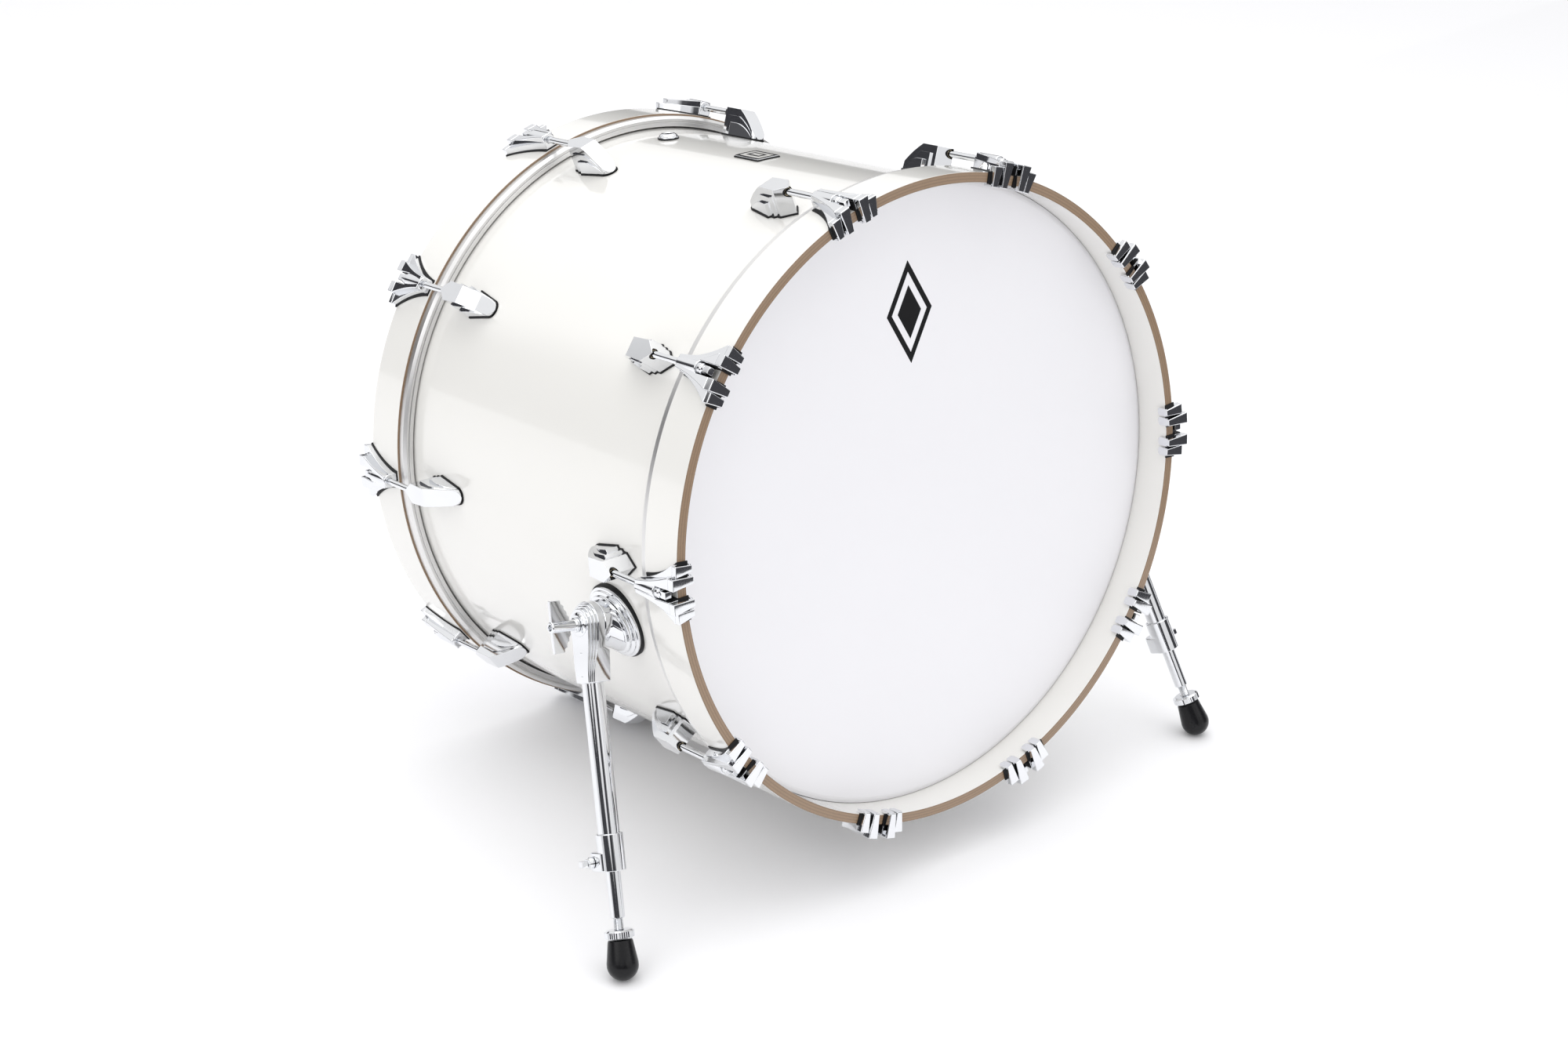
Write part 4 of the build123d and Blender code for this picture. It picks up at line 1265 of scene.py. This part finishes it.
class DRUM_OT_spur_rods(Operator):
    """Builds the legs' inner rods, lock nuts and rubber feet"""

    bl_idname = "drum.spur_rods"
    bl_label = "Leg rods, nuts and feet"

    def execute(self, context):
        sizes = context.scene.spur_sizes
        radius = sizes.rod_radius * MM
        foot = sizes.foot_radius * MM
        thread = []
        for number in range(THREAD_CRESTS):
            start = ROD_END + number * THREAD_PITCH
            thread += [(THREAD_ROOT, start), (4.4, start + THREAD_PITCH / 2)]
        rod = turned(
            [
                (0, ROD_START), (radius - 0.6, ROD_START), (radius, ROD_START + 0.6),
                (radius, ROD_END - 0.8), (radius - 0.8, ROD_END), *thread,
                (THREAD_ROOT, ROD_END + THREAD_CRESTS * THREAD_PITCH), (0, 284.5),
            ],
            0, 48,
        )
        rim = soften(knurled(12.85, NUT_START + 1.2, NUT_END - 1.2, 40), 0.2, 1, 60)
        cheeks = turned(
            [
                (4.45, NUT_START), (10.8, NUT_START), (12.2, NUT_START + 1.4),
                (12.2, NUT_END - 1.4), (10.8, NUT_END), (4.45, NUT_END),
            ],
            0.3, 64,
        )
        rubber_foot = turned(
            [
                (0, FOOT_START + 0.2), (9.2, FOOT_START + 0.2), (10.4, FOOT_START + 0.6),
                (10.9, FOOT_START + 1.6), (foot - 0.9, FOOT_CENTRE - 7), (foot - 0.1, FOOT_CENTRE - 1.8),
                *round_points(foot, FOOT_CENTRE, pi / 32, pi * 15 / 32, 14), (0, FOOT_CENTRE + foot),
            ],
            0, 64,
        )
        for side in SIDES:
            for name, shape, slot, body, node, material in (
                ("inner_rod", rod, "chrome", "leg_rod_sliding", "leg_rod", "chrome"),
                ("knurled_nut", joined(rim, cheeks), "chrome", "lock_nut_sliding", "lock_nut", "chrome"),
                ("rubber_foot", rubber_foot, "black_rubber", "foot_sliding", "foot", "gloss_rubber"),
            ):
                finish_piece(
                    f"{side}_{name}", assembled((shape, leg_place(side))), f"{side}_{body}",
                    [f"{side}_{node}"], [material],
                )
        return {"FINISHED"}


# ---------------------------------------------------------------- kept CAD nodes
KEPT = {
    "zinc": (
        "front_lug_screws", "rear_lug_screws", "front_lug_washers", "rear_lug_washers",
        "left_spur_screws", "right_spur_screws", "left_spur_backing_plate", "right_spur_backing_plate",
        "air_vent_nut",
    ),
    "rubber": ("air_vent_gasket", "badge_gasket"),
}


class DRUM_OT_inner_pieces(Operator):
    """Gives the fasteners and sheets that keep their CAD shape their finishes"""

    bl_idname = "drum.inner_pieces"
    bl_label = "Inner pieces"

    def execute(self, context):
        for material, nodes in KEPT.items():
            for node in nodes:
                slots = frame["nodes"][node].data.materials
                slots.clear()
                slots.append(finish(material))
        kept = {node for nodes in KEPT.values() for node in nodes}
        for node, cad in frame["nodes"].items():
            if not cad.hide_render and node not in kept:
                raise RuntimeError(f"{node} has no finish")
        return {"FINISHED"}


# ---------------------------------------------------------------- stage
FLOOR_SIZE = 16.0
LIGHTS = (
    # name, place, width, watts
    ("ceiling_light", (0.1, 0.1, 3.2), 3.8, 46.0),
    ("side_light", (-3.2, -0.6, 1.9), 2.2, 16.0),
    ("front_light", (0.7, -3.1, 0.5), 2.4, 15.0),
)
UPRIGHT_FLAGS = (10, 55, 100, 295, 335)
FLOOR_FLAGS = (0, 32, 64, 96)
BAND = ((4.4, 0.5), (4.42, 0.5), (4.42, 1.45), (4.4, 1.45))


def staged(name, bm, material):
    """A part of the stage."""
    mesh = bpy.data.meshes.new(name)
    bm.to_mesh(mesh)
    bm.free()
    mesh.materials.append(material)
    prop = bpy.data.objects.new(name, mesh)
    bpy.context.scene.collection.objects.link(prop)
    return prop


def lay_floor(tone):
    """The plain pale floor."""
    bm = bmesh.new()
    bmesh.ops.create_grid(bm, x_segments=1, y_segments=1, size=FLOOR_SIZE)
    material, graph = surface("studio_floor", Roughness=0.75, Specular_IOR_Level=0.2)
    cloud = graph.noise(1.5, 2.0, graph.object_place())
    graph.feed(graph.shader, {"Base Color": graph.mix(cloud, rgba(tone, 0.995), rgba(tone, 1.005))})
    staged("studio_floor", bm, material)


def light_world():
    """Pale walls with three dark panels low down, which the chrome picks up."""
    world = bpy.data.worlds.new("studio")
    sky = Graph(world)
    x, y, height = sky.split(sky.node("ShaderNodeTexCoord", {}, {}, "Generated"))
    around = x.math("ARCTAN2", y, x)
    panels = (around * 3.0 + 0.6).sine()
    dark = sky.ramp(panels, 0.35, 0.6) * (1.0 - sky.ramp(height, 0.3, 0.42))
    wall = sky.mix(sky.ramp(height, -0.1, 0.5), (0.72, 0.72, 0.74, 1), (1.0, 1.0, 1.0, 1))
    tone = sky.mix(dark * 0.92, wall, (0.03, 0.03, 0.035, 1))
    sky.feed(sky.tree.nodes["Background"], {"Color": tone, "Strength": 1.0})
    bpy.context.scene.world = world


def hang_flags():
    """Black cloths that show only in reflections: uprights, a band all round and strips on the floor."""
    material, graph = surface("flag_cloth", Roughness=0.95, Specular_IOR_Level=0.0)
    graph.feed(graph.shader, {"Base Color": (0.05, 0.05, 0.055, 1)})
    bm = bmesh.new()
    for azimuth in UPRIGHT_FLAGS:
        turn = Matrix.Rotation(radians(azimuth), 4, "Z")
        stamp(bm, block((-0.62, -3.7, 0.0), (0.62, -3.68, 1.8)), turn)
    stamp(bm, turned(BAND, 0, 96))
    for azimuth in FLOOR_FLAGS:
        turn = Matrix.Rotation(radians(azimuth), 4, "Z")
        stamp(bm, block((-1.1, -3.66, 0.004), (1.1, -1.2, 0.006)), turn)
    flags = staged("black_flags", bm, material)
    flags.visible_camera = False
    flags.visible_diffuse = False
    flags.visible_shadow = False
    flags.visible_transmission = False


def set_lights():
    """Soft square lights, turned to the middle of the drum."""
    for name, place, width, watts in LIGHTS:
        lamp = bpy.data.lights.new(name, "AREA")
        lamp.energy = watts
        lamp.size = width
        light = bpy.data.objects.new(name, lamp)
        light.location = place
        towards = Vector((0, 0, 0.3)) - Vector(place)
        light.rotation_euler = towards.to_track_quat("-Z", "Y").to_euler()
        bpy.context.scene.collection.objects.link(light)


def set_camera(settings):
    data = bpy.data.cameras.new("camera")
    data.lens = settings.camera_lens
    data.sensor_width = 36.0
    camera = bpy.data.objects.new("camera", data)
    sight = Vector(settings.camera_target) - Vector(settings.camera_place)
    facing = sight.to_track_quat("-Z", "Y").to_matrix().to_4x4()
    roll = Matrix.Rotation(settings.camera_roll, 4, "Z")
    camera.matrix_world = Matrix.Translation(settings.camera_place) @ facing @ roll
    bpy.context.scene.collection.objects.link(camera)
    bpy.context.scene.camera = camera


class DRUM_OT_stage(Operator):
    """Builds the floor, the light and the camera"""

    bl_idname = "drum.stage"
    bl_label = "Stage"

    def execute(self, context):
        settings = context.scene.stage_settings
        lay_floor(settings.floor_colour)
        light_world()
        hang_flags()
        set_lights()
        set_camera(settings)
        context.scene.view_settings.view_transform = "Standard"
        return {"FINISHED"}


# ---------------------------------------------------------------- panel and registration
STEPS = (
    DRUM_OT_shell, DRUM_OT_hoops, DRUM_OT_heads, DRUM_OT_flesh_hoops, DRUM_OT_lugs, DRUM_OT_claws,
    DRUM_OT_vent, DRUM_OT_badge, DRUM_OT_mark, DRUM_OT_spur_bases, DRUM_OT_spur_legs,
    DRUM_OT_spur_rods, DRUM_OT_inner_pieces, DRUM_OT_stage,
)
GROUPS = {
    "drum_sizes": DrumSizes,
    "hardware_sizes": HardwareSizes,
    "spur_sizes": SpurSizes,
    "finishes": Finishes,
    "stage_settings": StageSettings,
}


class DRUM_PT_pieces(Panel):
    """Lists the pieces to build and their sizes and colours"""

    bl_idname = "DRUM_PT_pieces"
    bl_label = "Bass Drum"
    bl_space_type = "VIEW_3D"
    bl_region_type = "UI"
    bl_category = "Drum"

    def draw(self, context):
        for step in STEPS:
            self.layout.operator(step.bl_idname)
        for group in GROUPS:
            settings = getattr(context.scene, group)
            for name in settings.bl_rna.properties.keys():
                if name not in ("rna_type", "name"):
                    self.layout.prop(settings, name)


def register():
    for group in GROUPS.values():
        bpy.utils.register_class(group)
    for step in STEPS:
        bpy.utils.register_class(step)
    bpy.utils.register_class(DRUM_PT_pieces)
    for name, group in GROUPS.items():
        setattr(bpy.types.Scene, name, PointerProperty(type=group))


def unregister():
    for name in GROUPS:
        delattr(bpy.types.Scene, name)
    bpy.utils.unregister_class(DRUM_PT_pieces)
    for step in reversed(STEPS):
        bpy.utils.unregister_class(step)
    for group in reversed(list(GROUPS.values())):
        bpy.utils.unregister_class(group)


def main():
    register()
    for step in STEPS:
        group, name = step.bl_idname.split(".")
        getattr(getattr(bpy.ops, group), name)()


if __name__ == "__main__":
    main()
